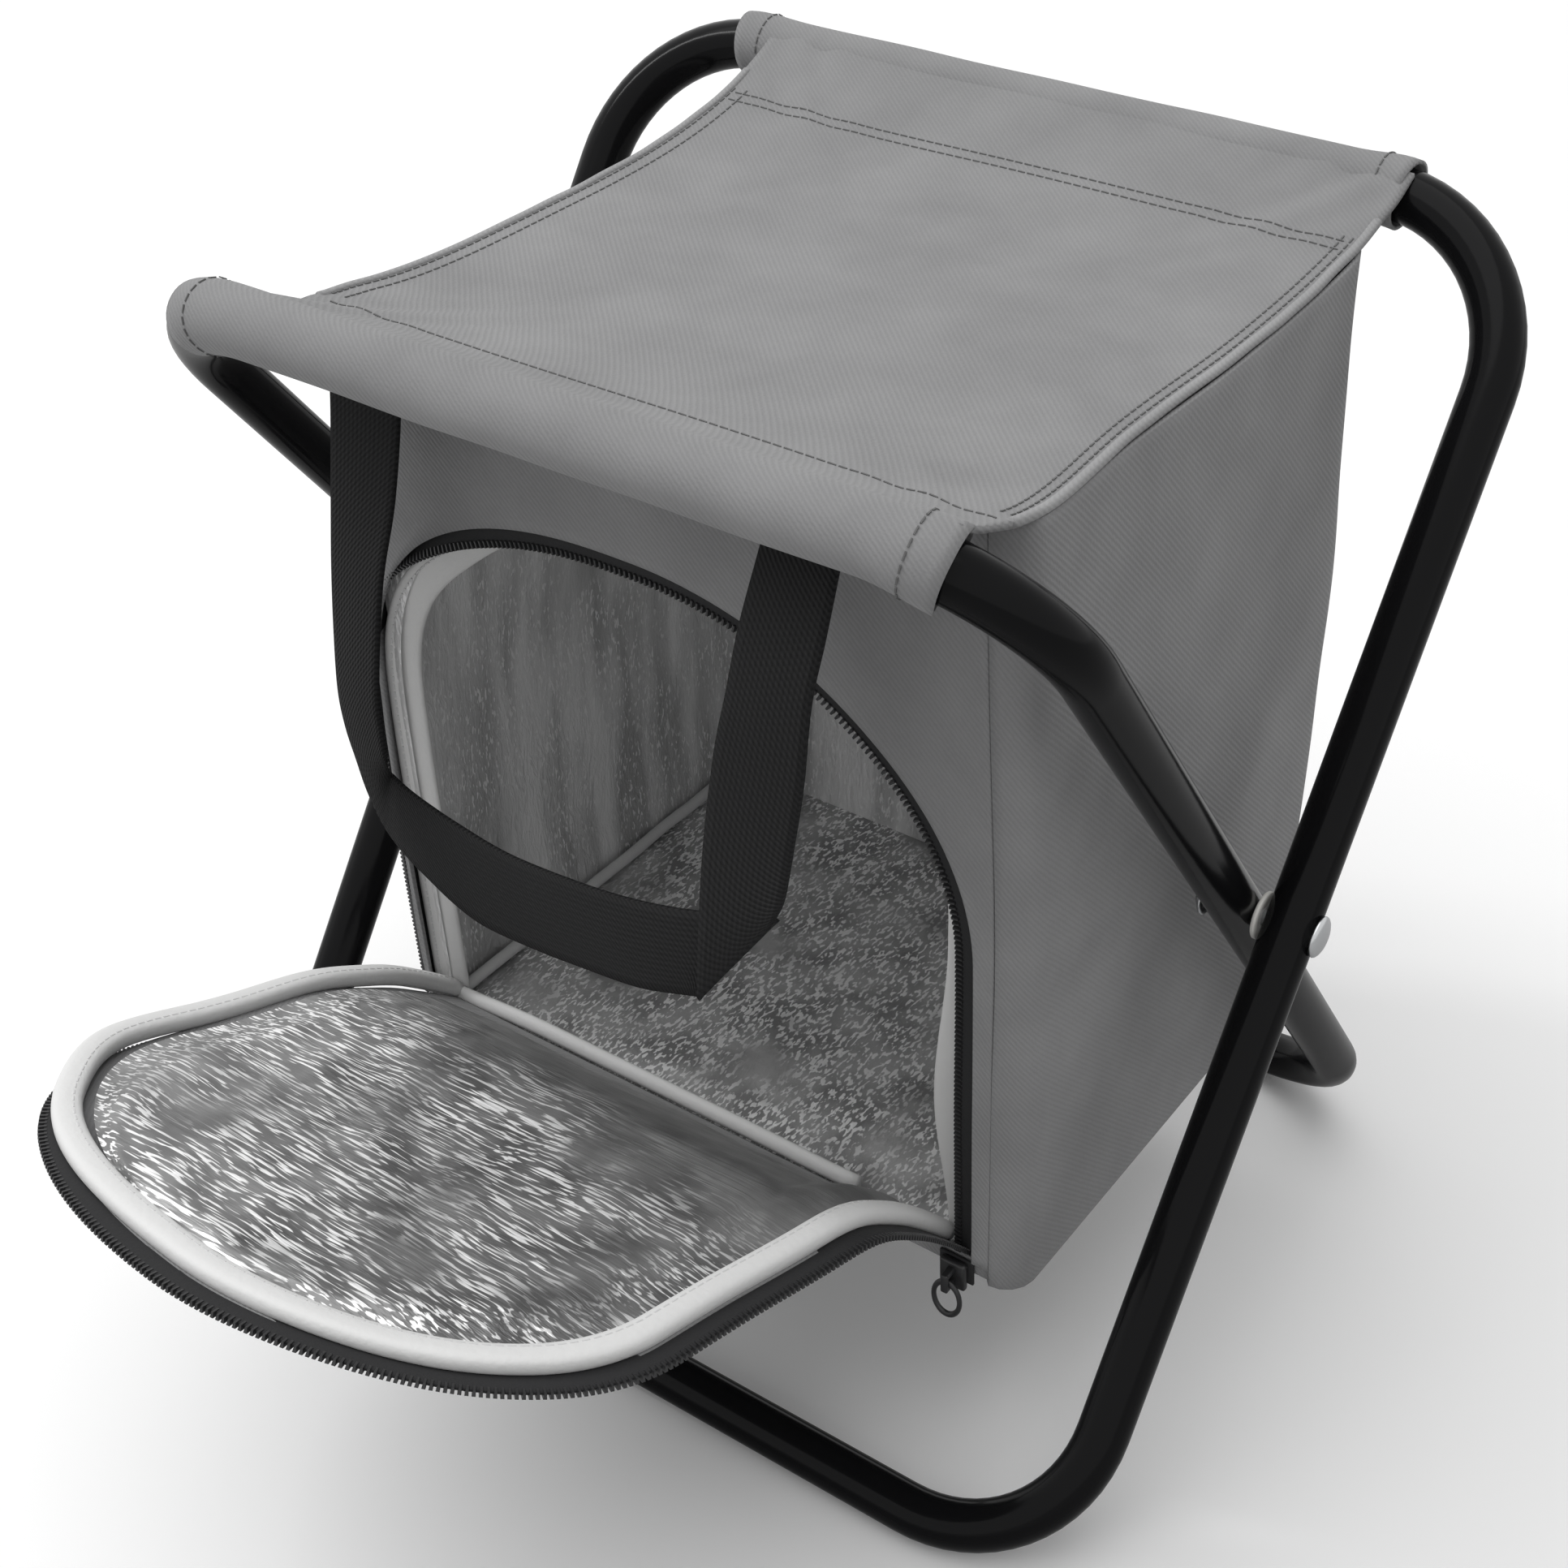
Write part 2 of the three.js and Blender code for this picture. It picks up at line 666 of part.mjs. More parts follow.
// The slack cloth between the crease and the askew lower edge of the arch
function makeGusset(bent, liningDepth) {
  const width = 2 * (archHalfWidth - flapTeethOffset);
  const endX = width * Math.cos(flapSkewAngle);
  const corners = [
    [gussetStart, touchGap / 2],
    [endX, touchGap / 2],
    [endX, width * Math.sin(flapSkewAngle) - touchGap],
    [gussetStart, gussetStart * Math.tan(flapSkewAngle) - touchGap],
  ];
  const shape = new THREE.Shape(corners.map(([x, v]) => new THREE.Vector2(x, v)));
  add(bent, 'flap_gusset', 'cloth', plate(shape, 0, bagWall));
  add(bent, 'flap_gusset_lining', 'foil',
    plate(shape, liningDepth, liningDepth + liningThickness));
}

function makeSlider(front) {
  const centreX = archCentreX + archHalfWidth - teethOffset;
  const topHeight = hingeHeight - sliderTopDrop;
  const tabTopHeight = hingeHeight - touchGap;
  add(front, 'zip_end_tab', 'tape', plate(
    rectangle(centreX - endTabWidth / 2, centreX + endTabWidth / 2,
      tabTopHeight - endTabHeight, tabTopHeight),
    -touchGap - endTabThickness,
    -touchGap,
  ));

  const halfTop = sliderWidth / 2;
  const halfBottom = halfTop * sliderShoulderShare;
  const bottomHeight = topHeight - sliderHeight;
  const outline = [
    [centreX - halfBottom, bottomHeight],
    [centreX + halfBottom, bottomHeight],
    [centreX + halfTop, topHeight - sliderHeight * sliderShoulderDropShare],
    [centreX + halfBottom, topHeight],
    [centreX - halfBottom, topHeight],
    [centreX - halfTop, topHeight - sliderHeight * sliderShoulderDropShare],
  ];
  const shape = new THREE.Shape(outline.map(([x, v]) => new THREE.Vector2(x, v)));
  const backDepth = -2 * touchGap - endTabThickness;
  const faceDepth = backDepth - sliderThickness;
  const bridgeBottom = bottomHeight + (sliderHeight - bridgeLength) / 2;
  const bridge = plate(
    rectangle(centreX - bridgeWidth / 2, centreX + bridgeWidth / 2,
      bridgeBottom, bridgeBottom + bridgeLength),
    faceDepth - bridgeHeight,
    faceDepth + sliderThickness / 2,
  );
  const boreDepth = faceDepth - bridgeHeight / 2;
  const boreHeight = bridgeBottom + bridgeHeight / 2;
  const bore = ringAlongX(bridgeBoreRadius, 0, centreX - sliderWidth, centreX + sliderWidth);
  bore.translate(0, boreHeight, -boreDepth);
  const body = toSolid(plate(shape, faceDepth, backDepth)).add(toSolid(bridge));
  add(front, 'zip_slider', 'slider', fromSolid(body.subtract(toSolid(bore))));

  const ring = new THREE.TorusGeometry(pullHalfWidth, pullWireRadius, wireSides,
    pullRingSteps);
  ring.scale(1, pullHalfHeight / pullHalfWidth, 1);
  ring.rotateX(Math.PI / 2);
  const bridgeY = frontY(bagBottomZ + boreHeight * Math.cos(frontLean), boreDepth);
  const bridgeZ = bagBottomZ + boreHeight * Math.cos(frontLean) + boreDepth * Math.sin(frontLean);
  ring.translate(centreX, bridgeY, bridgeZ - pullHalfHeight);
  add(stool, 'zip_pull_ring', 'slider', ring);
}

// The webbing handle hangs from two sewn tabs behind the front sleeve. Its left corner is
// bent round and its right corner is folded flat at an angle.

function handleOutline() {
  const outer = handleHalfSpacing + webbingWidth / 2;
  const inner = outer - webbingWidth;
  const innerRadius = handleCornerRadius - webbingWidth;
  const innerFoldHeight = handleRightLength - webbingWidth;
  const points = [];
  const corner = (radius, halfWidth, length, fromDegrees, toDegrees) => {
    for (let step = 0; step <= cornerSteps; step++) {
      const angle = radians(fromDegrees + ((toDegrees - fromDegrees) * step) / cornerSteps);
      points.push(new THREE.Vector2(
        radius - halfWidth + radius * Math.cos(angle),
        radius - length + radius * Math.sin(angle),
      ));
    }
  };
  points.push(new THREE.Vector2(-outer, 0));
  corner(handleCornerRadius, outer, handleLeftLength, 180, 270);
  points.push(new THREE.Vector2(outer - handleFoldWidth, -handleRightLength));
  points.push(new THREE.Vector2(outer, handleFoldHeight - handleRightLength));
  points.push(new THREE.Vector2(outer, 0));
  points.push(new THREE.Vector2(inner, 0));
  points.push(new THREE.Vector2(inner, -innerFoldHeight));
  corner(innerRadius, inner, handleLeftLength - webbingWidth, 270, 180);
  points.push(new THREE.Vector2(-inner, 0));
  return new THREE.Shape(points);
}

function makeHandle() {
  const y = frontBarY + handleBehindBar;
  const y0 = y - webbingThickness / 2;
  const y1 = y + webbingThickness / 2;
  const tabTopZ = seatUnderside(y1) - touchGap;
  const tabBottomZ = barZ - handleTopBelowBar;
  for (const [sideName, side] of [['left', -1], ['right', 1]]) {
    const x = side * handleHalfSpacing;
    add(stool, `handle_tab_${sideName}`, 'tape',
      block(x - webbingWidth / 2, x + webbingWidth / 2, y0, y1, tabBottomZ, tabTopZ));
  }
  const hang = group(stool, 0, y, tabBottomZ - 2 * touchGap, -handleLean);
  const webbing = new THREE.ExtrudeGeometry(handleOutline(), {
    depth: webbingThickness,
    bevelEnabled: false,
  });
  webbing.rotateX(Math.PI / 2);
  webbing.translate(0, webbingThickness / 2, 0);
  add(hang, 'handle_webbing', 'tape', webbing);
}

makeFrames();
makePivots();
makeSeat();
makeBag();
makeFront();
makeHandle();

// The whole stool is set down with the middle of its base at the origin
const box = new THREE.Box3().setFromObject(stool, true);
const middle = box.getCenter(new THREE.Vector3());
stool.position.set(-middle.x, -middle.y, -box.min.z);

export default stool;
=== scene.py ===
# %% [markdown]
# # A folding cooler stool
# Two loops of bent black tube cross at a rivet on each side. A grey seat hangs between their top
# bars, and an insulated bag hangs under the seat, with a foil lining, an arched zip opening and a
# padded flap. The cloth is modelled here, because it sags and folds.

import json
import math

import bmesh
import bpy
from mathutils import Matrix, Vector, noise


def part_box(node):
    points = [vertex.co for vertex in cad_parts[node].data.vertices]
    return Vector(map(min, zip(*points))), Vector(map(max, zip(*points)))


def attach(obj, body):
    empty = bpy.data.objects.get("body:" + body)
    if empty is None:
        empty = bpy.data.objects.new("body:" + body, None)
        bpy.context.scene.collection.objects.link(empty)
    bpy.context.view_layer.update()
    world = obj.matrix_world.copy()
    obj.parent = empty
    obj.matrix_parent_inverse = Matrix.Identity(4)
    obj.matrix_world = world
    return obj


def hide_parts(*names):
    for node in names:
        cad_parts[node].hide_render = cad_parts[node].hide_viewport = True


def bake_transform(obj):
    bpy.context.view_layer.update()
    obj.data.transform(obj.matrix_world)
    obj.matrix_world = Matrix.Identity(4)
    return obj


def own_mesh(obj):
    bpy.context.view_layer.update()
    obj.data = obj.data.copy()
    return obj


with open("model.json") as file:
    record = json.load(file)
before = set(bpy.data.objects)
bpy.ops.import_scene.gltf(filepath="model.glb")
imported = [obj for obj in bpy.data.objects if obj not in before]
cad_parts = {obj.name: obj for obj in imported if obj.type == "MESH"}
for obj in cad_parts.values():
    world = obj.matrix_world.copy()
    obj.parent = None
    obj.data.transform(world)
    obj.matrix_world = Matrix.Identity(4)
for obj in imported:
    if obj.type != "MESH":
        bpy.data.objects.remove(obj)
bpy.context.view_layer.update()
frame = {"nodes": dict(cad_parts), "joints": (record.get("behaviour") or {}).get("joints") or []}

# %% [markdown]
# All the drawing below is in millimetres, with the rivets' axis at Y 0 and the floor at Z 0. One
# function sets a finished mesh down in the part's own place in metres, so no length is given twice.

# %% Measures of the stool, in millimetres
MM = 0.001
PIVOT_Z = 179.8
HALF_HEIGHT = 171.8
OUTER_LEAN = math.radians(35.3)
INNER_LEAN = math.radians(37.2)
BAR_Z = PIVOT_Z + HALF_HEIGHT
REAR_Y = HALF_HEIGHT * math.tan(OUTER_LEAN)
FRONT_Y = -HALF_HEIGHT * math.tan(INNER_LEAN)
TUBE_RADIUS = 8.0
fold_hinge = next(j for j in frame["joints"] if j["name"] == "fold")
pivot = Vector(fold_hinge["pos_m"])
PLACE = Vector((0, pivot.y, pivot.z - PIVOT_Z * MM))
print("bars at Y", round(FRONT_Y, 1), round(REAR_Y, 1), "Z", round(BAR_Z, 1))

# %% [markdown]
# The camera looks down at the stool's front right corner from about 80 centimetres away. It stands
# where the lines of the two frames meet as they do in the photograph.

# %% Camera
FOCAL_PIXELS, PHOTO_PIXELS, SENSOR = 3027.1, 1932, 36
CAMERA_AT = Vector((365.9, -534.0, 630.8))
azimuth, elevation, roll = (math.radians(a) for a in (35.877, 35.730, -0.7544))
back = Vector((
    math.sin(azimuth) * math.cos(elevation),
    -math.cos(azimuth) * math.cos(elevation),
    math.sin(elevation),
))
level = Vector((math.cos(azimuth), math.sin(azimuth), 0))
upright = back.cross(level)
right = level * math.cos(roll) + upright * math.sin(roll)
up = upright * math.cos(roll) - level * math.sin(roll)
camera_data = bpy.data.cameras.new("camera")
camera_data.lens = FOCAL_PIXELS / PHOTO_PIXELS * SENSOR
camera = bpy.data.objects.new("camera", camera_data)
bpy.context.collection.objects.link(camera)
turn = Matrix((right, up, back)).transposed().to_4x4()
camera.matrix_world = Matrix.Translation(CAMERA_AT * MM + PLACE) @ turn
bpy.context.scene.camera = camera
bpy.context.scene.view_settings.view_transform = "Standard"
print("camera at", [round(v, 3) for v in camera.matrix_world.translation])

# %% [markdown]
# ## Finishes
# Every finish is a small node tree. A helper starts one and hands back its nodes, and colour or
# roughness that is the same all over is written on the shader's own socket.

# %% Start a finish
def start_finish(name, colour, roughness, metallic=0.0):
    finish = bpy.data.materials.new(name)
    finish.use_nodes = True
    shader = finish.node_tree.nodes["Principled BSDF"]
    shader.inputs["Base Color"].default_value = (*colour, 1)
    shader.inputs["Roughness"].default_value = roughness
    shader.inputs["Metallic"].default_value = metallic
    return finish, finish.node_tree, shader


def add_node(tree, kind, **settings):
    node = tree.nodes.new(kind)
    for key, value in settings.items():
        if key in node.inputs:
            node.inputs[key].default_value = value
        else:
            setattr(node, key, value)
    return node


def object_space(tree, scale=(1, 1, 1), rotation=(0, 0, 0)):
    place = add_node(tree, "ShaderNodeTexCoord")
    mapping = add_node(tree, "ShaderNodeMapping", Scale=scale, Rotation=rotation)
    tree.links.new(place.outputs["Object"], mapping.inputs["Vector"])
    return mapping.outputs["Vector"]


# %% [markdown]
# Cloth, foil and enamel all get their grain from a noise read on the piece's own coordinates, so
# the grain stays where it is when the piece moves. Each relief is laid over the one before it, so
# a finish can have wide waves with fine grain on top.

# %% Patterns and relief
def noise_map(tree, where, scale, detail, distortion=0.0):
    node = add_node(tree, "ShaderNodeTexNoise", Scale=scale, Detail=detail, Distortion=distortion)
    tree.links.new(where, node.inputs["Vector"])
    return node.outputs["Fac"]


def relief(tree, shader, height, strength, distance):
    bump = add_node(tree, "ShaderNodeBump", Strength=strength, Distance=distance)
    tree.links.new(height, bump.inputs["Height"])
    for link in list(tree.links):
        if link.to_socket == shader.inputs["Normal"]:
            tree.links.new(link.from_socket, bump.inputs["Normal"])
    tree.links.new(bump.outputs["Normal"], shader.inputs["Normal"])


# %% [markdown]
# The cloth is a grey twill. Twill shows as fine raised lines that climb across the weave, so
# diagonal bands drive the relief, and a slow cloud of tone keeps the grey from looking printed.

# %% Grey twill
def twill(name, light, dark):
    finish, tree, shader = start_finish(name, light, 0.9)
    shader.inputs["Sheen Weight"].default_value = 0.15
    shader.inputs["Specular IOR Level"].default_value = 0.2
    where = object_space(tree)
    lines = add_node(tree, "ShaderNodeTexWave", Scale=300.0, Distortion=1.6, Detail=2.0,
                     bands_direction="DIAGONAL")
    lines.inputs["Detail Scale"].default_value = 3.0
    tree.links.new(where, lines.inputs["Vector"])
    cloud, yarn = noise_map(tree, where, 34.0, 5.0), noise_map(tree, where, 1500.0, 2.0)
    share = add_node(tree, "ShaderNodeMath", operation="MULTIPLY_ADD")
    share.inputs[1].default_value = 0.25
    tree.links.new(lines.outputs["Fac"], share.inputs[0])
    tree.links.new(cloud, share.inputs[2])
    tone = add_node(tree, "ShaderNodeMix", data_type="RGBA")
    tone.inputs["A"].default_value = (*dark, 1)
    tone.inputs["B"].default_value = (*light, 1)
    tree.links.new(share.outputs[0], tone.inputs["Factor"])
    tree.links.new(tone.outputs["Result"], shader.inputs["Base Color"])
    relief(tree, shader, yarn, 0.25, 0.0003)
    relief(tree, shader, lines.outputs["Fac"], 0.35, 0.0004)
    return finish


cloth = twill("cloth", (0.293, 0.293, 0.296), (0.186, 0.186, 0.189))
# The hems get a lighter copy of the same twill, a painted highlight along their raised folds.
highlit_hem_cloth = twill("highlit_hem_cloth", (0.36, 0.36, 0.363), (0.25, 0.25, 0.253))
print("cloth finishes", cloth.name, highlit_hem_cloth.name)

# %% [markdown]
# Enamel, tape, binding, nylon and plated steel differ in colour, in gloss and in how fine their
# grain is. One helper makes them all: a single noise lifts the surface by a fraction of a
# millimetre. On the plated steel the grain is drawn out, as brushing does.

# %% Plain finishes with a fine grain
def grained(name, colour, roughness, grain, metallic=0.0, specular=0.5, stretch=(1, 1, 1)):
    scale, detail, strength, distance = grain
    finish, tree, shader = start_finish(name, colour, roughness, metallic)
    shader.inputs["Specular IOR Level"].default_value = specular
    height = noise_map(tree, object_space(tree, stretch), scale, detail)
    relief(tree, shader, height, strength, distance)
    return finish


# %% [markdown]
# The frame is steel tube under a thick gloss enamel. A near-black base of low roughness gives the
# long narrow highlights, and a faint slow ripple keeps them from being ruler straight.

# %% Gloss black tube
tube_finish = grained("tube_enamel", (0.005, 0.005, 0.0055), 0.15, (55.0, 3.0, 0.06, 0.001),
                      specular=0.1)
print("tube finish", tube_finish.name)

# %% [markdown]
# The lining is a thin silver foil on foam. It is crushed into small facets, and each panel
# is creased its own way, so the same recipe is stretched differently for walls, floor and flap. A
# noise is cut at a height to give painted glints, white laid into the colour as the facets'
# highlights, and a slower one says where they are thick.

# %% Cut and combine patterns
def remap(tree, source, low, high, to_low=0.0, to_high=1.0):
    node = add_node(tree, "ShaderNodeMapRange")
    for socket, value in (("From Min", low), ("From Max", high),
                          ("To Min", to_low), ("To Max", to_high)):
        node.inputs[socket].default_value = value
    tree.links.new(source, node.inputs["Value"])
    return node.outputs["Result"]


def multiply(tree, one, other):
    node = add_node(tree, "ShaderNodeMath", operation="MULTIPLY")
    tree.links.new(one, node.inputs[0])
    tree.links.new(other, node.inputs[1])
    return node.outputs[0]


# %% [markdown]
# The foil's colour runs between a grey and white. The white is a painted glint on the facets, and
# the grey is painted shade, lighter and darker across the folds. On the flap the painted glints
# fade out near the hinge, most widely towards its right end, and on the walls the painted shade
# is drawn out into upright streaks.

# %% Crinkled foil
def foil(name, stretch, density, size, base, turned=(0, 0, 0), strength=0.6, smooth_end=None,
         streaks=False):
    finish, tree, shader = start_finish(name, (0.3, 0.3, 0.305), 0.3, 0.3)
    plain, crushed = object_space(tree), object_space(tree, stretch, turned)
    crush = noise_map(tree, crushed, size, 1.0, 0.3)
    dents = noise_map(tree, crushed, size / 3, 3.0, 0.8)
    wide = noise_map(tree, plain, 24.0, 3.0)
    # The glint is a painted highlight: white laid into the colour where the facets would catch the
    # light.
    glint = multiply(tree, remap(tree, crush, density, density + 0.07),
                     remap(tree, wide, 0.34, 0.5))
    if smooth_end:
        reach = add_node(tree, "ShaderNodeVectorMath", operation="DOT_PRODUCT")
        reach.inputs[1].default_value = (0.35, 1, 0)
        tree.links.new(plain, reach.inputs[0])
        glint = multiply(tree, remap(tree, reach.outputs["Value"], *smooth_end), glint)
    # Painted shade: the grey is made lighter and darker across the folds.
    fold_shade = noise_map(tree, object_space(tree, (1, 1, 0.16)) if streaks else plain, 60.0, 2.0)
    tone = add_node(tree, "ShaderNodeMix", data_type="RGBA")
    tone.inputs["B"].default_value = (1.0, 1.0, 1.0, 1)
    tree.links.new(remap(tree, fold_shade, 0.35, 0.65, base * 0.7, min(base * 1.35, 0.98)),
                   tone.inputs["A"])
    tree.links.new(glint, tone.inputs["Factor"])
    tree.links.new(tone.outputs["Result"], shader.inputs["Base Color"])
    tree.links.new(remap(tree, wide, 0.0, 1.0, 0.24, 0.46), shader.inputs["Roughness"])
    relief(tree, shader, wide, 0.25, 0.006)
    relief(tree, shader, dents, strength, 0.0016)
    relief(tree, shader, crush, 0.5 * strength, 0.001)
    return finish


# The three copies differ in base grey as painted light and shade: lighter on the walls and ceiling
# inside the bag's shade, darker on the flap that lies open to the lamps.
wall_foil = foil("wall_foil", (1.0, 1.0, 0.34), density=0.58, size=900.0, base=0.72, streaks=True)
floor_foil = foil("floor_foil", (1.0, 0.42, 1.0), density=0.52, size=850.0, base=0.38)
flap_foil = foil("flap_foil", (0.09, 1.0, 1.0), density=0.53, size=1050.0, base=0.2,
                 turned=(0, 0, math.radians(-6)), strength=0.4, smooth_end=(-0.05, -0.09))
print("foil finishes", wall_foil.name, floor_foil.name, flap_foil.name)

# %% [markdown]
# The binding is a smooth pale tape, the zip's tape and teeth are black, and the small hardware is
# bright plated steel, with nylon between the tubes. The thread is twisted, so fine slanting bands
# take the place of the grain.

# %% Bindings, tapes and hardware
binding_finish = grained("pale_binding", (0.76, 0.76, 0.755), 0.75, (420.0, 4.0, 0.35, 0.0006))
piping_finish = grained("grey_piping", (0.66, 0.66, 0.66), 0.7, (500.0, 3.0, 0.3, 0.0005))
tape_finish = grained("zip_tape", (0.013, 0.013, 0.014), 0.85, (900.0, 2.0, 0.4, 0.0004))
teeth_finish = grained("zip_teeth", (0.022, 0.022, 0.023), 0.4, (700.0, 2.0, 0.1, 0.0002))
steel_finish = grained("zinc_plate", (0.56, 0.57, 0.58), 0.28, (600.0, 3.0, 0.08, 0.0003),
                       metallic=1.0, stretch=(1, 0.2, 0.2))
nylon_finish = grained("nylon", (0.62, 0.61, 0.58), 0.5, (500.0, 2.0, 0.05, 0.0003))

thread_finish, tree, shader = start_finish("grey_thread", (0.13, 0.13, 0.13), 0.8)
twist = add_node(tree, "ShaderNodeTexWave", Scale=900.0, bands_direction="DIAGONAL")
tree.links.new(object_space(tree), twist.inputs["Vector"])
relief(tree, shader, twist.outputs["Fac"], 0.3, 0.0002)
print("finishes so far", len(bpy.data.materials))

# %% [markdown]
# Webbing is woven in lengthwise rows of small slanting ribs. A fine slanting wave gives the ribs
# and a wave across the strap gives the rows. Both are read from the strap's own UVs, so that the
# weave follows it round the corner.

# %% Black webbing
webbing_finish, tree, shader = start_finish("webbing", (0.009, 0.009, 0.0095), 0.8)
shader.inputs["Specular IOR Level"].default_value = 0.25
strap_uv = add_node(tree, "ShaderNodeUVMap", uv_map="strap")
ribs = add_node(tree, "ShaderNodeTexWave", Scale=0.34, Distortion=0.5,
                bands_direction="DIAGONAL")
rows = add_node(tree, "ShaderNodeTexWave", Scale=0.2, bands_direction="X")
for node in (ribs, rows):
    tree.links.new(strap_uv.outputs["UV"], node.inputs["Vector"])
rib_tone = add_node(tree, "ShaderNodeMix", data_type="RGBA")
rib_tone.inputs["A"].default_value = (0.004, 0.004, 0.0043, 1)
rib_tone.inputs["B"].default_value = (0.014, 0.014, 0.0145, 1)
tree.links.new(ribs.outputs["Fac"], rib_tone.inputs["Factor"])
tree.links.new(rib_tone.outputs["Result"], shader.inputs["Base Color"])
relief(tree, shader, rows.outputs["Fac"], 0.4, 0.0005)
relief(tree, shader, ribs.outputs["Fac"], 0.6, 0.0006)
print("webbing finish", webbing_finish.name)

# %% [markdown]
# ## Helpers for shaping
# A piece is drawn in a bmesh in millimetres, and this turns it into an object in the part's place,
# riding on the body that carries it.

# %% Turn a drawing into a piece
def make_piece(bm, name, finish, body, stands_for=(), smooth=True):
    bmesh.ops.scale(bm, vec=(MM, MM, MM), verts=bm.verts)
    bmesh.ops.translate(bm, vec=PLACE, verts=bm.verts)
    mesh = bpy.data.meshes.new(name)
    for face in bm.faces:
        face.smooth = smooth
    bm.to_mesh(mesh)
    bm.free()
    mesh.materials.append(finish)
    piece = bpy.data.objects.new(name, mesh)
    bpy.context.collection.objects.link(piece)
    if body:
        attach(piece, body)
    if stands_for:
        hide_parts(*stands_for)
    print(f"{name}: {len(mesh.polygons)} faces on {body}")
    return piece


def add_thickness(piece, thickness, offset=-1.0):
    wall = piece.modifiers.new("wall", "SOLIDIFY")
    wall.thickness = thickness * MM
    wall.offset = offset
    return piece


# %% [markdown]
# A sheet of cloth starts as a flat square grid. Every vertex knows how far across and how far up
# the square it is, and a function that is given for each sheet says where that place lies on the
# stool. The mesh keeps its tidy rows, and the shape can be anything.

# %% Lay a grid over a shape
def draw_grid(across, along, place):
    bm = bmesh.new()
    bmesh.ops.create_grid(bm, x_segments=across, y_segments=along, size=0.5)
    for vertex in bm.verts:
        vertex.co = place(vertex.co.x + 0.5, vertex.co.y + 0.5)
    return bm


def smooth_step(value):
    value = min(max(value, 0.0), 1.0)
    return value * value * (3 - 2 * value)


print("halfway up a smooth step", smooth_step(0.5))

# %% [markdown]
# Hems, sleeves, piping, bindings and tapes are each one profile carried along a path. The profile
# is a ring of a few vertices, and it is extruded from each station of the path to the next. A
# station is a place on the path with its own directions along, across and upwards.

# %% Carry a profile along a path
def station(place, along, upward):
    forward = along.normalized()
    side = upward.cross(forward).normalized()
    top = forward.cross(side).normalized()
    return Matrix((
        (side.x, top.x, forward.x, place.x),
        (side.y, top.y, forward.y, place.y),
        (side.z, top.z, forward.z, place.z),
        (0, 0, 0, 1),
    ))


def extrude_ring(bm, edges):
    made = bmesh.ops.extrude_edge_only(bm, edges=edges)["geom"]
    moved = {v for v in made if isinstance(v, bmesh.types.BMVert)}
    return list(moved), [e for e in made if isinstance(e, bmesh.types.BMEdge)
                         and e.verts[0] in moved and e.verts[1] in moved]


def carry(profile, stations, ends=True):
    bm = bmesh.new()
    ring = [bm.verts.new(stations[0] @ Vector((x, y, 0))) for x, y in profile]
    first = edges = [bm.edges.new((a, b)) for a, b in zip(ring, ring[1:] + ring[:1])]
    for here, there in zip(stations, stations[1:]):
        moved, edges = extrude_ring(bm, edges)
        bmesh.ops.transform(bm, matrix=there @ here.inverted(), verts=moved)
    if ends:
        bmesh.ops.edgeloop_fill(bm, edges=first)
        bmesh.ops.edgeloop_fill(bm, edges=edges)
    bmesh.ops.recalc_face_normals(bm, faces=bm.faces)
    return bm


def round_profile(width, height, sides=12, power=2.0):
    points = []
    for step in range(sides):
        angle = 2 * math.pi * step / sides
        c, s = math.cos(angle), math.sin(angle)
        points.append((
            width / 2 * math.copysign(abs(c) ** (2 / power), c),
            height / 2 * math.copysign(abs(s) ** (2 / power), s),
        ))
    return points


print("corners of a round profile", len(round_profile(10, 10)))

# %% [markdown]
# A stitch is a short thread lying on the cloth. A row of them is one mesh: each starts as a cube
# that is stretched along the seam, narrowed at one end and sunk half into the surface.

# %% Lay a row of stitches
def lay_stitches(bm, path, pitch=3.2, length=2.3, width=0.42):
    total = [0.0]
    for a, b in zip(path, path[1:]):
        total.append(total[-1] + (b[0] - a[0]).length)
    count = int(total[-1] // pitch)
    index = 0
    for step in range(count):
        reach = (step + 0.5) * pitch
        while index < len(path) - 2 and total[index + 1] < reach:
            index += 1
        share = (reach - total[index]) / max(total[index + 1] - total[index], 1e-6)
        place = path[index][0].lerp(path[index + 1][0], share)
        along = path[index + 1][0] - path[index][0]
        where = station(place, along, path[index][1])
        made = bmesh.ops.create_cube(bm, size=1.0)["verts"]
        bmesh.ops.scale(bm, vec=(width, width, length), verts=made)
        for vertex in made:
            vertex.co.y *= 0.75 if vertex.co.z > 0 else 1.0
        bmesh.ops.transform(bm, matrix=where, verts=made)
    return count


# %% [markdown]
# ## The frame
# Each loop is one length of tube bent at four corners. A circle is spun round each corner and
# extruded along each straight, which is how a bending machine makes it. A loop is given by half its
# width, half the length of its leg and the radius of its bends. The two loops are turned about the
# rivets to cross.

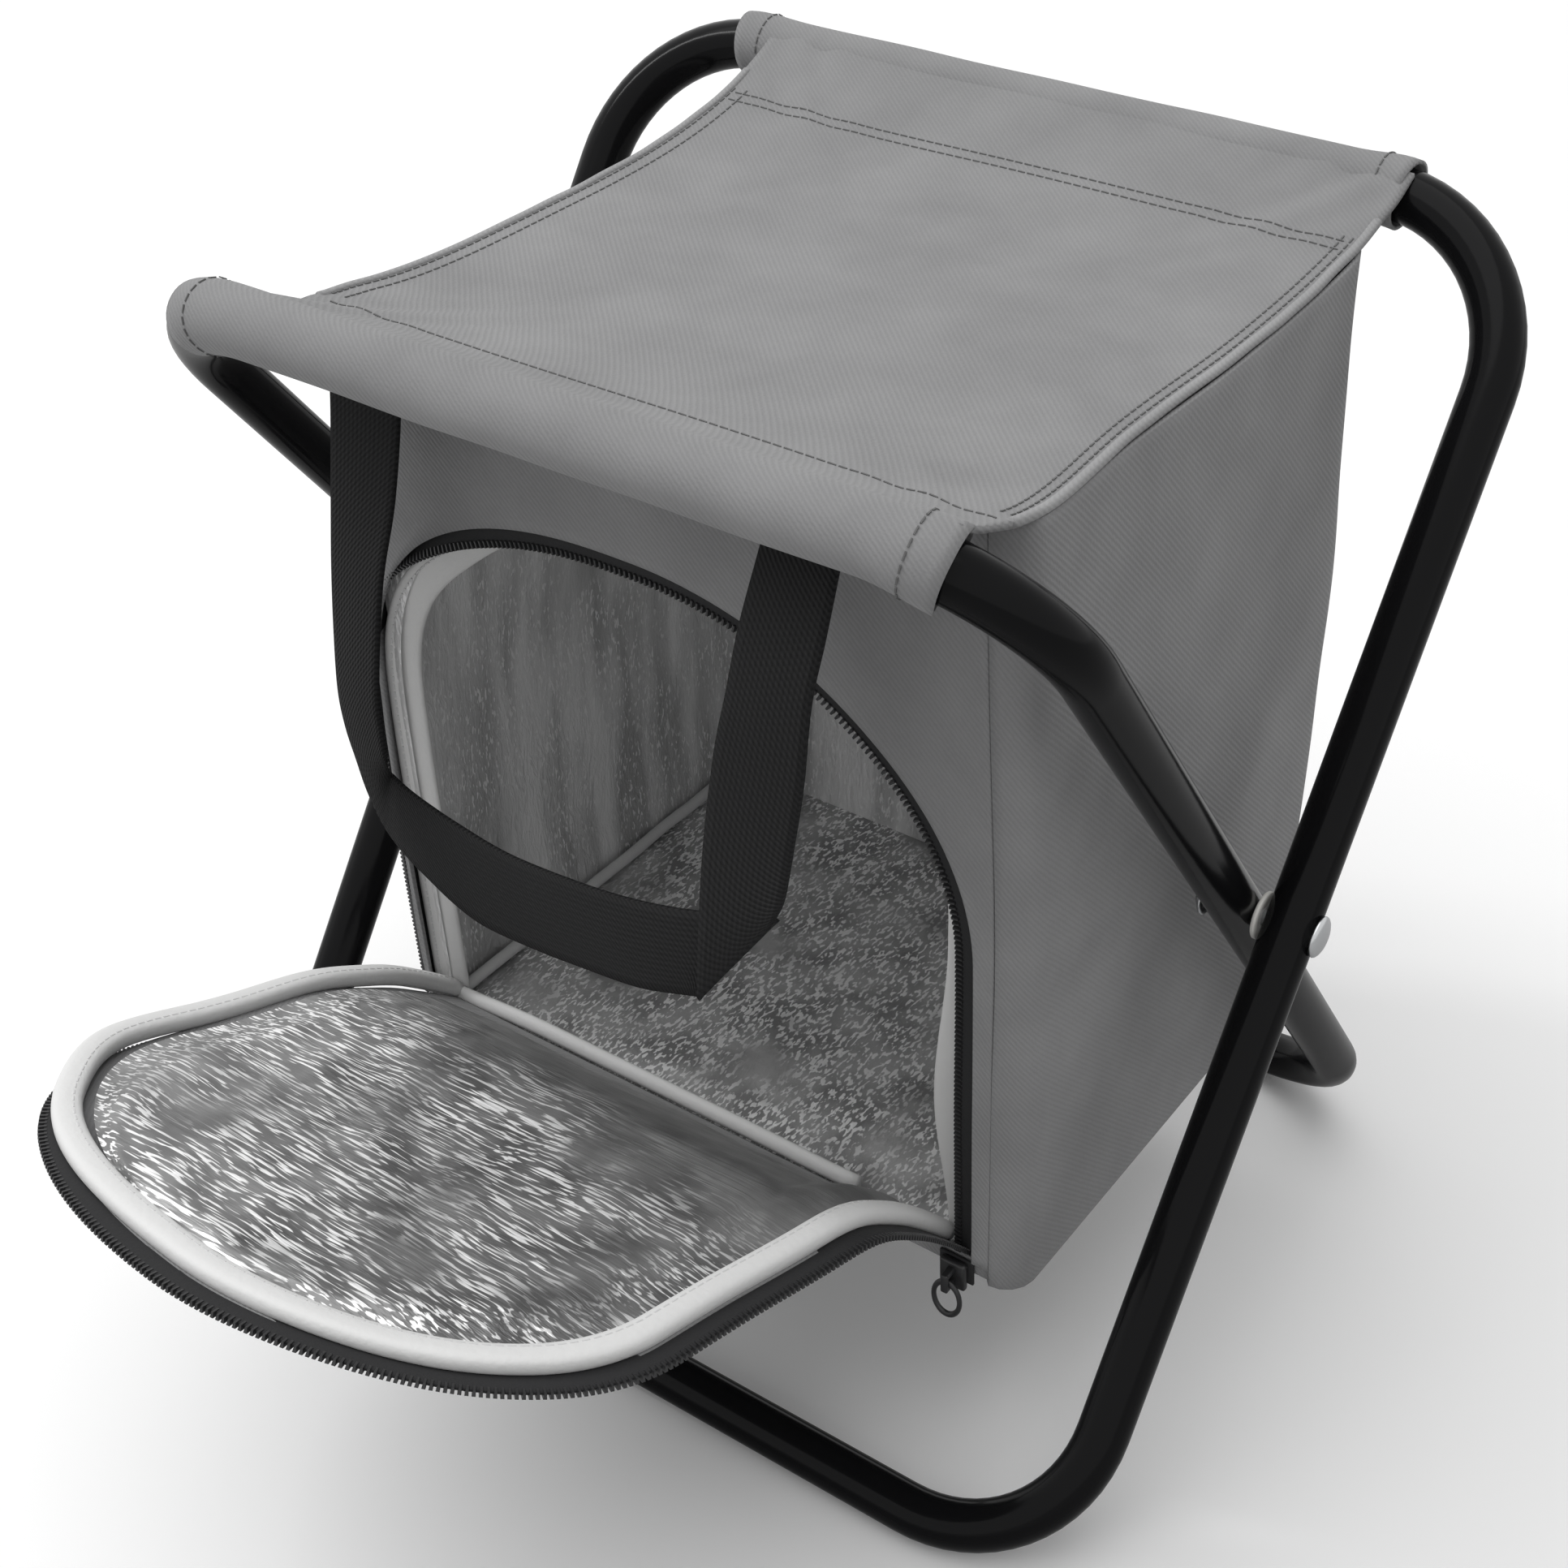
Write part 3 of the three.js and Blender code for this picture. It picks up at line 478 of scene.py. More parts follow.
# %% Bend the tube loops
def bend_loop(half_width, half_leg, bend):
    bm = bmesh.new()
    start = Matrix.Translation((-(half_width - bend), 0, half_leg)) @ Matrix.Rotation(
        math.pi / 2, 4, "Y")
    ring = bmesh.ops.create_circle(bm, segments=40, radius=TUBE_RADIUS, matrix=start)["verts"]
    edges = list({e for v in ring for e in v.link_edges})
    run = {"x": 2 * (half_width - bend), "z": 2 * (half_leg - bend)}
    corners = [(1, 1, (run["x"], 0, 0)), (1, -1, (0, 0, -run["z"])),
               (-1, -1, (-run["x"], 0, 0)), (-1, 1, (0, 0, run["z"]))]
    for side_x, side_z, straight in corners:
        moved, edges = extrude_ring(bm, edges)
        bmesh.ops.translate(bm, vec=straight, verts=moved)
        centre = (side_x * (half_width - bend), 0, side_z * (half_leg - bend))
        spun = bmesh.ops.spin(bm, geom=edges, cent=centre, axis=(0, 1, 0),
                              angle=math.pi / 2, steps=16)["geom_last"]
        edges = [e for e in spun if isinstance(e, bmesh.types.BMEdge)]
    bmesh.ops.remove_doubles(bm, verts=bm.verts, dist=0.01)
    bmesh.ops.recalc_face_normals(bm, faces=bm.faces)
    return bm


def turn_at_pivot(bm, angle, axis="X"):
    bmesh.ops.rotate(bm, cent=(0, 0, 0), matrix=Matrix.Rotation(angle, 3, axis), verts=bm.verts)
    bmesh.ops.translate(bm, vec=(0, 0, PIVOT_Z), verts=bm.verts)
    return bm


OUTER = (160.5, HALF_HEIGHT / math.cos(OUTER_LEAN), 50)
INNER = (142.5, HALF_HEIGHT / math.cos(INNER_LEAN), 46)
make_piece(turn_at_pivot(bend_loop(*OUTER), -OUTER_LEAN), "outer_tube_loop", tube_finish,
           "outer_frame", ["outer_frame_tube"])
make_piece(turn_at_pivot(bend_loop(*INNER), INNER_LEAN), "inner_tube_loop", tube_finish,
           "inner_frame", ["inner_frame_tube"])

# %% [markdown]
# Each rivet has a low domed head outside, and its tail is rolled over a washer inside. A half
# outline is spun all the way round to make each one.

# %% Spin the rivets and washers
def spin_outline(outline, steps=40):
    bm = bmesh.new()
    verts = [bm.verts.new((x, radius, 0)) for x, radius in outline]
    edges = [bm.edges.new(pair) for pair in zip(verts, verts[1:])]
    if outline[0] == outline[-1]:
        bmesh.ops.remove_doubles(bm, verts=bm.verts, dist=0.001)
        edges = list(bm.edges)
    bmesh.ops.spin(bm, geom=list(bm.verts) + edges, cent=(0, 0, 0), axis=(1, 0, 0),
                   angle=2 * math.pi, steps=steps, use_merge=True)
    bmesh.ops.remove_doubles(bm, verts=bm.verts, dist=0.001)
    bmesh.ops.recalc_face_normals(bm, faces=bm.faces)
    return bm


def washer_outline(radius, bore, x0, x1, edge=0.25):
    return [(x0, bore), (x0, radius - edge), (x0 + edge, radius), (x1 - edge, radius),
            (x1, radius - edge), (x1, bore), (x0, bore)]


head_x, tail_x = 168.8, 132.9
rivet_outline = [(tail_x - 1.6, 0.0), (tail_x - 1.6, 3.0), (tail_x - 1.3, 4.1),
                 (tail_x - 0.5, 4.6), (tail_x, 4.3), (tail_x, 3.0), (head_x, 3.0),
                 (head_x, 6.2), (head_x + 0.5, 6.4)]
for degrees in range(15, 90, 15):
    angle = math.radians(degrees)
    rivet_outline.append((head_x + 0.5 + 2.1 * math.sin(angle), 6.4 * math.cos(angle)))
rivet_outline.append((head_x + 2.6, 0.0))
pivot_shapes = [("rivet", rivet_outline, steel_finish),
                ("spacer", washer_outline(7.4, 3.1, 150.8, 152.2), nylon_finish),
                ("tail_washer", washer_outline(6.6, 3.1, 133.2, 134.2), steel_finish)]
for side_name, half_turn in (("right", 0.0), ("left", math.pi)):
    for kind, outline, finish in pivot_shapes:
        make_piece(turn_at_pivot(spin_outline(outline), half_turn, "Z"), f"{kind}_{side_name}",
                   finish, "pivot", [f"pivot_{kind}_{side_name}"])

# %% [markdown]
# ## The seat
# The cloth drops steeply behind each bar and is nearly level in the middle. Its side hems are
# pulled in a little by the load of the bag. One function gives the height of the cloth anywhere,
# so the hems, the stitches and the bag's top edge all lie on it.

# %% Where the seat lies
SEAT_EDGE, SEAT_DROP = 10.8, 20.4


def seat_height(x, y):
    share = (2 * y - FRONT_Y - REAR_Y) / (REAR_Y - FRONT_Y)
    slack = 1 - share ** 4
    pull = noise.noise(Vector((x * 0.012, y * 0.012, 3.1)))
    return BAR_Z + SEAT_EDGE - SEAT_DROP * slack + slack * 1.1 * pull


def left_hem(y):
    return -103.5 + 9.5 * smooth_step((-y - 84) / 40) + 1.2 * math.cos(y * 0.024)


def right_hem(y):
    return 116.2 + 4.4 * smooth_step((abs(y) - 30) / 90) + 0.8 * math.sin(y * 0.05)


print("seat middle height", round(seat_height(6, -4), 1))

# %% [markdown]
# The panel starts as a flat grid. Its columns are spread between the hems, its rows are lowered
# onto the curve, and a few soft pulls run in from the corners, as on slung cloth.

# %% Seat panel
SEAT_Y0, SEAT_Y1 = FRONT_Y + 4.0, REAR_Y - 4.0


def corner_pulls(x, y):
    total = 0.0
    for corner_x, corner_y, angle in ((-100, FRONT_Y, 52), (118, FRONT_Y, 128),
                                      (-100, REAR_Y, -50), (118, REAR_Y, -130)):
        dx, dy = x - corner_x, y - corner_y
        turned = math.radians(angle)
        along = dx * math.cos(turned) + dy * math.sin(turned)
        across = -dx * math.sin(turned) + dy * math.cos(turned)
        if along > 0:
            fade = smooth_step(along / 18) * math.exp(-along / 42)
            total += 1.2 * fade * math.cos(across * 0.42) * math.exp(-(across / 13) ** 2)
    return total


def seat_point(u, t):
    y = SEAT_Y0 + t * (SEAT_Y1 - SEAT_Y0)
    x = left_hem(y) + u * (right_hem(y) - left_hem(y))
    return x, y, seat_height(x, y) + corner_pulls(x, y)


CLOTH = 1.6
seat = make_piece(draw_grid(90, 104, seat_point), "seat_cloth", cloth, "bag", ["seat_panel"])
add_thickness(seat, CLOTH)

# %% [markdown]
# Each side of the seat is turned over and sewn to the bag's top edge, which makes a narrow raised
# hem. It is a flattened round profile carried along the hem line, in a lighter copy of the cloth
# that paints a highlight along the fold.

# %% Seat hems
HEM_START, HEM_END, HEM_STEPS = -104.0, REAR_Y - 22.0, 60


def hem_stations(hem, inward):
    stations = []
    for step in range(HEM_STEPS + 1):
        y = HEM_START + step * (HEM_END - HEM_START) / HEM_STEPS
        x = hem(y) + inward + 0.5 * noise.noise(Vector((y * 0.06, inward, 0)))
        ahead = Vector((hem(y + 1) - hem(y), 1, seat_height(x, y + 1) - seat_height(x, y)))
        stations.append(station(Vector((x, y, seat_height(x, y) - 0.4)), ahead, Vector((0, 0, 1))))
    return stations


hem_profile = round_profile(2.8, 2.6, 12, 2.4)
left_edge = make_piece(carry(hem_profile, hem_stations(left_hem, 0.7)), "seat_hem_left",
                       highlit_hem_cloth, "bag", ["seat_binding_left"])
right_edge = make_piece(carry(hem_profile, hem_stations(right_hem, -0.7)), "seat_hem_right",
                        highlit_hem_cloth, "bag", ["seat_binding_right"])

# %% [markdown]
# The two sleeves are sewn round the top bars with a double row in front of the rear bar and a
# single row behind the front one. Rows also run beside each side hem.

# %% Seat stitches
SEAT_PROUD, ROW_POINTS = 0.15, 65


def seat_row(points):
    return [(Vector((x, y, seat_height(x, y) + corner_pulls(x, y) + SEAT_PROUD)),
             Vector((0, 0, 1))) for x, y in points]


bm = bmesh.new()
threads = 0
for y, inward, gap in ((84.0, 4, 3.35), (88.0, 4, 3.35), (-106.0, 6, 3.3)):
    row = [(left_hem(y) + inward + i * gap, y) for i in range(ROW_POINTS)]
    threads += lay_stitches(bm, seat_row(row))
for hem, inward in ((left_hem, 2.8), (left_hem, 7.6), (right_hem, -3.2), (right_hem, -6.0)):
    row = [(hem(-100 + i * 3) + inward, -100 + i * 3) for i in range(ROW_POINTS)]
    threads += lay_stitches(bm, seat_row(row))
seat_threads = make_piece(bm, "seat_stitches", thread_finish, "bag", smooth=False)
print("stitches on the seat", threads)

# %% [markdown]
# The sleeves are round cloth tubes, a little larger than the bar. They follow the start of each
# bend, and their cut ends stand open round the tube.

# %% Sleeves round the bars
def bar_stations(size, x0, x1, count):
    half_width, half_leg, bend = size
    centre_x = half_width - bend
    stations = []
    for step in range(count + 1):
        x = x0 + (x1 - x0) * step / count
        reach = abs(x) - centre_x
        drop, slope = 0.0, 0.0
        if reach > 0:
            drop = bend - math.sqrt(bend ** 2 - reach ** 2)
            slope = math.asin(reach / bend) * math.copysign(1, x)
        along = Vector((math.cos(slope), 0, -math.sin(slope)))
        stations.append(station(Vector((x, 0, half_leg - drop)), along, Vector((0, 1, 0))))
    return stations


def bar_middle(size, x):
    past = max(abs(x) - (size[0] - size[2]), 0)
    return Vector((x, 0, size[1] - size[2] + math.sqrt(size[2] ** 2 - past ** 2)))


def sleeve_lift(outward, x, x0, x1, lift):
    near_end = smooth_step(1 - (x - x0) / 24) * lift[0] + smooth_step(1 - (x1 - x) / 20) * lift[1]
    return near_end * (0.35 + 0.65 * max(outward.z, 0))


def slack_point(point, size, x0, x1, lift):
    x = point.x
    if abs(x) - (size[0] - size[2]) >= 30:
        return point.copy()
    outward = (point - bar_middle(size, x)).normalized()
    wave = 0.3 * noise.noise(Vector((x * 0.03, point.y * 0.11, point.z * 0.11)))
    return point + outward * (wave + sleeve_lift(outward, x, x0, x1, lift))


SLEEVE_WIDTH = 19.4


def sleeve_shape(size, x0, x1, lift):
    bm = carry(round_profile(SLEEVE_WIDTH, SLEEVE_WIDTH, 40), bar_stations(size, x0, x1, 96),
               ends=False)
    for vertex in bm.verts:
        vertex.co = slack_point(vertex.co, size, x0, x1, lift)
    return bm


REAR_SPAN, FRONT_SPAN = (-118, 118), (-121, 119)
REAR_LIFT, FRONT_LIFT = (0.8, 1.2), (1.2, 3.4)
rear_sleeve = make_piece(turn_at_pivot(sleeve_shape(OUTER, *REAR_SPAN, REAR_LIFT), -OUTER_LEAN),
                         "rear_sleeve_cloth", cloth, "outer_frame", ["rear_sleeve"])
front_sleeve = make_piece(turn_at_pivot(sleeve_shape(INNER, *FRONT_SPAN, FRONT_LIFT), INNER_LEAN),
                          "front_sleeve_cloth", cloth, "inner_frame", ["front_sleeve"])
for sleeve in (rear_sleeve, front_sleeve):
    add_thickness(sleeve, 1.1)

# %% [markdown]
# Each sleeve end is held by a row of stitches all the way round. The row is a ring on the sleeve's
# round shape, and it goes through the same slack as the cloth, so that no stitch sinks or floats.

# %% Stitches round the sleeve ends
SLEEVE_PROUD = 0.2


def ring_row(size, x, span, lift):
    where = bar_stations(size, x, x + 1, 1)[0]
    path = []
    for step in range(41):
        angle = 2 * math.pi * step / 40
        outward = where.to_3x3() @ Vector((math.cos(angle), math.sin(angle), 0))
        point = slack_point(where.translation + outward * SLEEVE_WIDTH / 2, size, *span, lift)
        path.append((point + outward * SLEEVE_PROUD, outward))
    return path


for name, size, span, lift, lean, body in (
        ("rear", OUTER, REAR_SPAN, REAR_LIFT, -OUTER_LEAN, "outer_frame"),
        ("front", INNER, FRONT_SPAN, FRONT_LIFT, INNER_LEAN, "inner_frame")):
    bm = bmesh.new()
    ring_stitches = sum(lay_stitches(bm, ring_row(size, x, span, lift))
                        for x in (span[0] + 9, span[1] - 8))
    print(name, "sleeve stitches", ring_stitches)
    make_piece(turn_at_pivot(bm, lean), f"{name}_sleeve_stitches", thread_finish, body,
               smooth=False)

# %% [markdown]
# ## The bag
# The bag is a soft box. Its walls are one band of cloth that runs from the front left corner, round
# the back, to the front right corner. A flat grid is carried round that path, so the corners stay
# round and the walls can bulge between the seams.

# %% Path of the bag's walls, seen from above
BAG_Z = 74.0
LEFT_X, RIGHT_X = -111.0, 123.0
MIDDLE_X, MIDDLE_Y = 6.0, 4.0
FRONT_BASE, REAR_FACE = -83.0, 92.0
FRONT_LEAN = math.radians(3.08)
CORNER = 9.0
LEFT_CORNER = 2.0


def front_y(z):
    return FRONT_BASE - (z - BAG_Z) * math.tan(FRONT_LEAN)


def wall_path(share, z, inset):
    left, right = LEFT_X + inset, RIGHT_X - inset
    front, rear = front_y(z) + inset, REAR_FACE - inset
    small, big = LEFT_CORNER, CORNER
    runs = (
        ("arc", small, (left + small, front + small), -90),
        ("line", rear - front - small - big, (left, front + small), (0, 1)),
        ("arc", big, (left + big, rear - big), 180),
        ("line", right - left - 2 * big, (left + big, rear), (1, 0)),
        ("arc", big, (right - big, rear - big), 90),
        ("line", rear - front - 2 * big, (right, rear - big), (0, -1)),
        ("arc", big, (right - big, front + big), 0),
    )
    lengths = [run[1] * math.pi / 2 if run[0] == "arc" else run[1] for run in runs]
    reach = share * sum(lengths)
    index = 0
    while index < len(runs) - 1 and reach > lengths[index]:
        reach -= lengths[index]
        index += 1
    kind, size, (x, y), aim = runs[index]
    if kind == "line":
        return Vector((x + aim[0] * reach, y + aim[1] * reach, z))
    angle = math.radians(aim) - reach / size
    return Vector((x + size * math.cos(angle), y + size * math.sin(angle), z))


print("walls at mid height", [round(v, 1) for v in wall_path(0.5, 200, 0)])

# %% [markdown]
# Cloth walls belly out between their seams and carry soft folds. The belly is widest a little
# below the middle. The top row follows the underside of the seat and its hems.

# %% Places on the bag walls
BELLY_SIDE, BELLY_REAR = 2.2, 5.5
SEAT_Z = BAG_Z + 268


def from_middle(point):
    return (point - Vector((MIDDLE_X, MIDDLE_Y, point.z))).normalized()


def wall_point(share, lift, inset, topped=0.0, fold_size=1.0):
    base = wall_path(share, BAG_Z, inset)
    high = wall_path(share, SEAT_Z, inset)
    z_top = seat_height(high.x, high.y) - 1.5 - topped
    point = wall_path(share, BAG_Z + lift * (z_top - BAG_Z), inset)
    side = smooth_step((abs(point.x - MIDDLE_X) - 80) / 30)
    middle = math.cos(math.pi * (point.y - MIDDLE_Y) / 200) if abs(point.y) < 96 else 0.0
    belly = math.sin(math.pi * min(max(lift, 0), 1) ** 0.8)
    out_x = math.copysign(1, point.x - MIDDLE_X) * side * (BELLY_SIDE * belly * middle)
    at_right = point.x > MIDDLE_X
    to_hem = right_hem(base.y) + 0.3 - RIGHT_X if at_right else left_hem(base.y) - 0.3 - LEFT_X
    out_x += side * to_hem * smooth_step((lift - 0.45) / 0.55)
    rear = smooth_step((point.y - 60) / 30)
    out_y = rear * BELLY_REAR * belly * math.cos(math.pi * (point.x - MIDDLE_X) / 260)
    where = Vector((point.x * 0.011, point.y * 0.011, point.z * 0.007))
    fold = noise.noise(where) * 2.6 + noise.noise(where * 3.1) * 0.9
    fold *= fold_size * math.sin(math.pi * min(max(lift, 0.0), 1.0))
    return point + Vector((out_x, out_y, 0)) + from_middle(point) * fold


# %% [markdown]
# The lowest rows of the grid turn in under the bag as a narrow hem, where the base is sewn on. The
# rows above it climb to the seat.

# %% Bag walls
WALL_ROWS = 74
HEM_ROWS = ((5.5, 0.6), (2.0, 0.2), (0.5, 1.6), (0.0, 4.2))
HEM_LIFT = 0.016


def hemmed_wall(share, up):
    row = round(up * WALL_ROWS)
    if row < len(HEM_ROWS):
        inset, height = HEM_ROWS[row]
        return wall_path(share, BAG_Z, inset) + Vector((0, 0, height))
    rows_up = (row - len(HEM_ROWS) + 1) / (WALL_ROWS + 1 - len(HEM_ROWS))
    return wall_point(share, HEM_LIFT + (1 - HEM_LIFT) * rows_up, 0.0)


bag_walls = make_piece(draw_grid(170, WALL_ROWS, hemmed_wall), "bag_walls", cloth, "bag",
                       ["bag_left_side", "bag_right_side", "bag_rear_panel", "bag_rear_header"])
add_thickness(bag_walls, CLOTH)

# %% [markdown]
# The base is a separate panel, seamed to the walls. Its corners are rounded off, and its middle
# ripples by half a millimetre, so that it doesn't look like a board.

# %% Base of the bag
BASE_SEAM = 12


def base_point(across, along):
    u, v = 2 * across - 1, 2 * along - 1
    x = MIDDLE_X + u * (RIGHT_X - LEFT_X - BASE_SEAM) / 2
    y = (FRONT_BASE + REAR_FACE) / 2 + v * (REAR_FACE - FRONT_BASE - BASE_SEAM) / 2
    round_off = max(abs(u) - 0.96, 0) * max(abs(v) - 0.95, 0) * 900
    x -= math.copysign(round_off, u)
    y -= math.copysign(round_off, v)
    ripple = noise.noise(Vector((x * 0.02, y * 0.02, 5.0)))
    return x, y, BAG_Z + 0.9 + 0.5 * ripple * (1 - u ** 4) * (1 - v ** 4)


base = make_piece(draw_grid(56, 42, base_point), "bag_base", cloth, "bag", ["bag_bottom"])
add_thickness(base, 2.0, 1.0)

# %% [markdown]
# The front wall leans out a little and has the arched opening. These functions give a place on the
# wall from the distance across, the height up the cloth, and the depth behind its face.

# %% Places on the front wall
HINGE_V = 8.0
SPRING_V, RISE, HALF_WIDTH = 128.0, 93.0, 108.0


def front_point(x, v, depth):
    y = FRONT_BASE - v * math.sin(FRONT_LEAN) + depth * math.cos(FRONT_LEAN)
    z = BAG_Z + v * math.cos(FRONT_LEAN) + depth * math.sin(FRONT_LEAN)
    lift = v / 270
    bow = math.sin(math.pi * min(max(lift, 0), 1))
    y -= 1.2 * bow * noise.noise(Vector((x * 0.02, v * 0.016, 7.7)))
    return Vector((x, y, z))


ARCH_LEG, ARCH_CROWN = SPRING_V - HINGE_V, 250.0
POWER_RIGHT, POWER_LEFT = 1.97, 2.5


def arch_edge(share, offset):
    reach = share * (2 * ARCH_LEG + ARCH_CROWN)
    half, rise = HALF_WIDTH - offset, RISE - offset
    if reach < ARCH_LEG:
        return half, HINGE_V + reach
    if reach > ARCH_LEG + ARCH_CROWN:
        return -half, HINGE_V + 2 * ARCH_LEG + ARCH_CROWN - reach
    angle = math.pi * (reach - ARCH_LEG) / ARCH_CROWN
    c, s = math.cos(angle), math.sin(angle)
    power = POWER_LEFT if c < 0 else POWER_RIGHT
    x = half * math.copysign(abs(c) ** (2 / power), c)
    return x, SPRING_V + rise * s ** (2 / power)


print("crown of the arch", [round(v, 1) for v in arch_edge(0.5, 0)])

# %% [markdown]
# The front wall is a band between the arch and the edges of the panel. The grid's one side lies
# along the arch, and its other side along the legs and top of the wall.

# %% Front wall
FAN = 1.18


def outer_edge(x, v):
    side_x, share = (RIGHT_X - CORNER, 1.0) if x > 0 else (LEFT_X + LEFT_CORNER, 0.0)
    top = (seat_height(x, -97) - 1.8 - BAG_Z) / math.cos(FRONT_LEAN)
    rise = v - SPRING_V
    if rise > 0 and rise * FAN * side_x / x > top - SPRING_V:
        top_x = x * (top - SPRING_V) / (rise * FAN)
        corner = smooth_step(1 - abs(side_x - top_x) / 22)
        return front_point(top_x, top, 0).lerp(wall_point(share, 1.0, 0.0), corner * 0.999)
    side_v = v if rise <= 0 else SPRING_V + rise * FAN * side_x / x
    return wall_point(share, min(side_v / top, 1.0), 0.0)


def front_sheet(inner_offset, inset, depth, across, name, finish, stands_for):
    def arch_to_edge(share, out):
        x, v = arch_edge(share, inner_offset)
        edge = front_point(x, v, depth)
        reach = outer_edge(x, v) + Vector((0, depth, 0)) - edge
        return edge + reach * out * (1 - inset / max(reach.length, 2 * inset + 1))
    return make_piece(draw_grid(across, 14, arch_to_edge), name, finish, "bag_front", stands_for)


front_wall = front_sheet(-0.2, 0.0, 0.0, 150, "bag_front_wall", cloth,
                         ["bag_front_panel", "bag_front_header"])
add_thickness(front_wall, CLOTH)

# %% [markdown]
# Below the opening the wall is only a narrow strip between the hinge of the flap and the base. It
# has the same turned-in hem as the other walls, and its top edge turns in a little at the hinge.

# %% Strip under the opening
STRIP_ROWS = (*HEM_ROWS, (0.0, 5.6), (0.0, 6.8), (0.1, 7.8), (0.8, 8.4))


def strip_point(across, up):
    x = LEFT_X + LEFT_CORNER + across * (RIGHT_X - LEFT_X - LEFT_CORNER - CORNER)
    inset, height = STRIP_ROWS[round(up * (len(STRIP_ROWS) - 1))]
    return front_point(x, height, inset)


front_strip = make_piece(draw_grid(60, len(STRIP_ROWS) - 1, strip_point), "bag_front_strip", cloth,
                         "bag_front")
add_thickness(front_strip, CLOTH)

# %% [markdown]
# ## The foil lining
# The lining is a second box inside the first. The foil has been crushed and smoothed many times,
# so it is broken up into long soft dents. The same dents function is used for all of its panels.

# %% Dents in the foil
def dent(point, size=1.6):
    wide = noise.noise(Vector((point.x * 0.021, point.y * 0.021, point.z * 0.03)))
    fine = noise.noise(Vector((point.x * 0.06 + 9, point.y * 0.06, point.z * 0.05)))
    return size * (wide + 0.55 * fine)


print("dent at the middle of the bag", round(dent(Vector((MIDDLE_X, MIDDLE_Y, 200))), 2), "mm")

# %% [markdown]
# The lining's walls follow the bag's own walls a few millimetres further in. The dents die away
# towards the seams, where the foil is held flat.

# %% Lining of the walls
WALL_GAP, LINING_DROP = 4.8, 3.2


def lining_wall_point(share, lift):
    point = wall_point(share, 0.018 + lift * 0.982, WALL_GAP, LINING_DROP, 0.6)
    near_edge = smooth_step(lift / 0.1) * smooth_step((1 - lift) / 0.08)
    near_edge *= smooth_step(share / 0.03) * smooth_step((1 - share) / 0.03)
    return point - from_middle(point) * (0.8 + dent(point) * near_edge)


lining_walls = make_piece(draw_grid(200, 84, lining_wall_point), "lining_walls", wall_foil, "bag",
                          ["lining_left", "lining_right", "lining_rear"])

# %% [markdown]
# The floor and the ceiling of the lining are two more sheets. The floor lies on the bag's padded
# base, and the ceiling hangs close under the seat and takes its sag from it.

# %% Lining of the floor, the ceiling and the front
FLOOR_Z = 78.6


def lining_floor_point(across, along):
    u, v = across - 0.5, along - 0.5
    x, y = MIDDLE_X + u * (RIGHT_X - LEFT_X - 11), MIDDLE_Y + v * (REAR_FACE + 79)
    edge = (1 - (2 * u) ** 6) * (1 - (2 * v) ** 6)
    return x, y, FLOOR_Z + 0.9 * edge + dent(Vector((x, y, 40)), 0.8) * edge


def ceiling_point(across, along):
    x = MIDDLE_X + (across - 0.5) * (RIGHT_X - LEFT_X - 15)
    y = -4 + (along - 0.5) * (REAR_FACE + 90)
    return x, y, seat_height(x, y) - 4.9 - abs(dent(Vector((x, y, 90)), 0.7))


lining_floor = make_piece(draw_grid(84, 64, lining_floor_point), "lining_floor", floor_foil, "bag",
                          ["lining_bottom"])
lining_top = make_piece(draw_grid(70, 56, ceiling_point), "lining_ceiling", wall_foil, "bag",
                        ["lining_top"])
lining_front = front_sheet(4.4, 2.0, 4.0, 130, "lining_front_wall", wall_foil, ["lining_front"])

# %% [markdown]
# A grey piping covers the seam between the floor and each side of the lining, and a thicker pale
# one lies along the front edge, over the hinge of the flap.

# %% Piping along the lining's floor
PIPING_IN, PIPING_Z = 8.8, 81.8
piping = []
for name, x in (("left", LEFT_X + PIPING_IN), ("right", RIGHT_X - PIPING_IN)):
    places = []
    for step in range(31):
        y = -80 + step * 164 / 30
        wander = 0.5 * noise.noise(Vector((x, y * 0.04, 1.0)))
        places.append(station(Vector((x + wander, y, PIPING_Z)), Vector((0, 1, 0)),
                              Vector((0, 0, 1))))
    piping.append(make_piece(carry(round_profile(4.2, 4.4, 12), places),
                             f"lining_piping_{name}_cord", piping_finish, "bag",
                             [f"lining_piping_{name}"]))

places = []
for step in range(41):
    x = -108 + step * 172 / 40
    rise = 2.2 + 2.8 * smooth_step((x + 108) / 50) + 0.5 * noise.noise(Vector((x * 0.03, 2, 5)))
    places.append(station(front_point(x, HINGE_V + rise - 1.2, 3.6), Vector((1, 0, 0)),
                          Vector((0, 0, 1))))
hinge_cord = make_piece(carry(round_profile(4.6, 6.2, 16), places), "hinge_piping_cord",
                        binding_finish, "bag_front")

# %% [markdown]
# ## The zip round the opening
# From the outside in, the edge of the opening has a black tape, a row of teeth, and behind them a
# pale binding that covers the cut edge of the foil. Each follows the arch at its own distance.

# %% Follow the arch
WALL_OUT = Vector((0, -math.cos(FRONT_LEAN), -math.sin(FRONT_LEAN)))


def follow(points, normals):
    behind, ahead = points[:1] + points[:-1], points[1:] + points[-1:]
    return [station(point, after - before, normal)
            for point, before, after, normal in zip(points, behind, ahead, normals)]


def read_table(table, reach):
    for (r0, a0), (r1, a1) in zip(table, table[1:]):
        if reach <= r1:
            return a0 + (a1 - a0) * smooth_step((reach - r0) / (r1 - r0))
    return table[-1][1]


ARCH_STEPS = 150


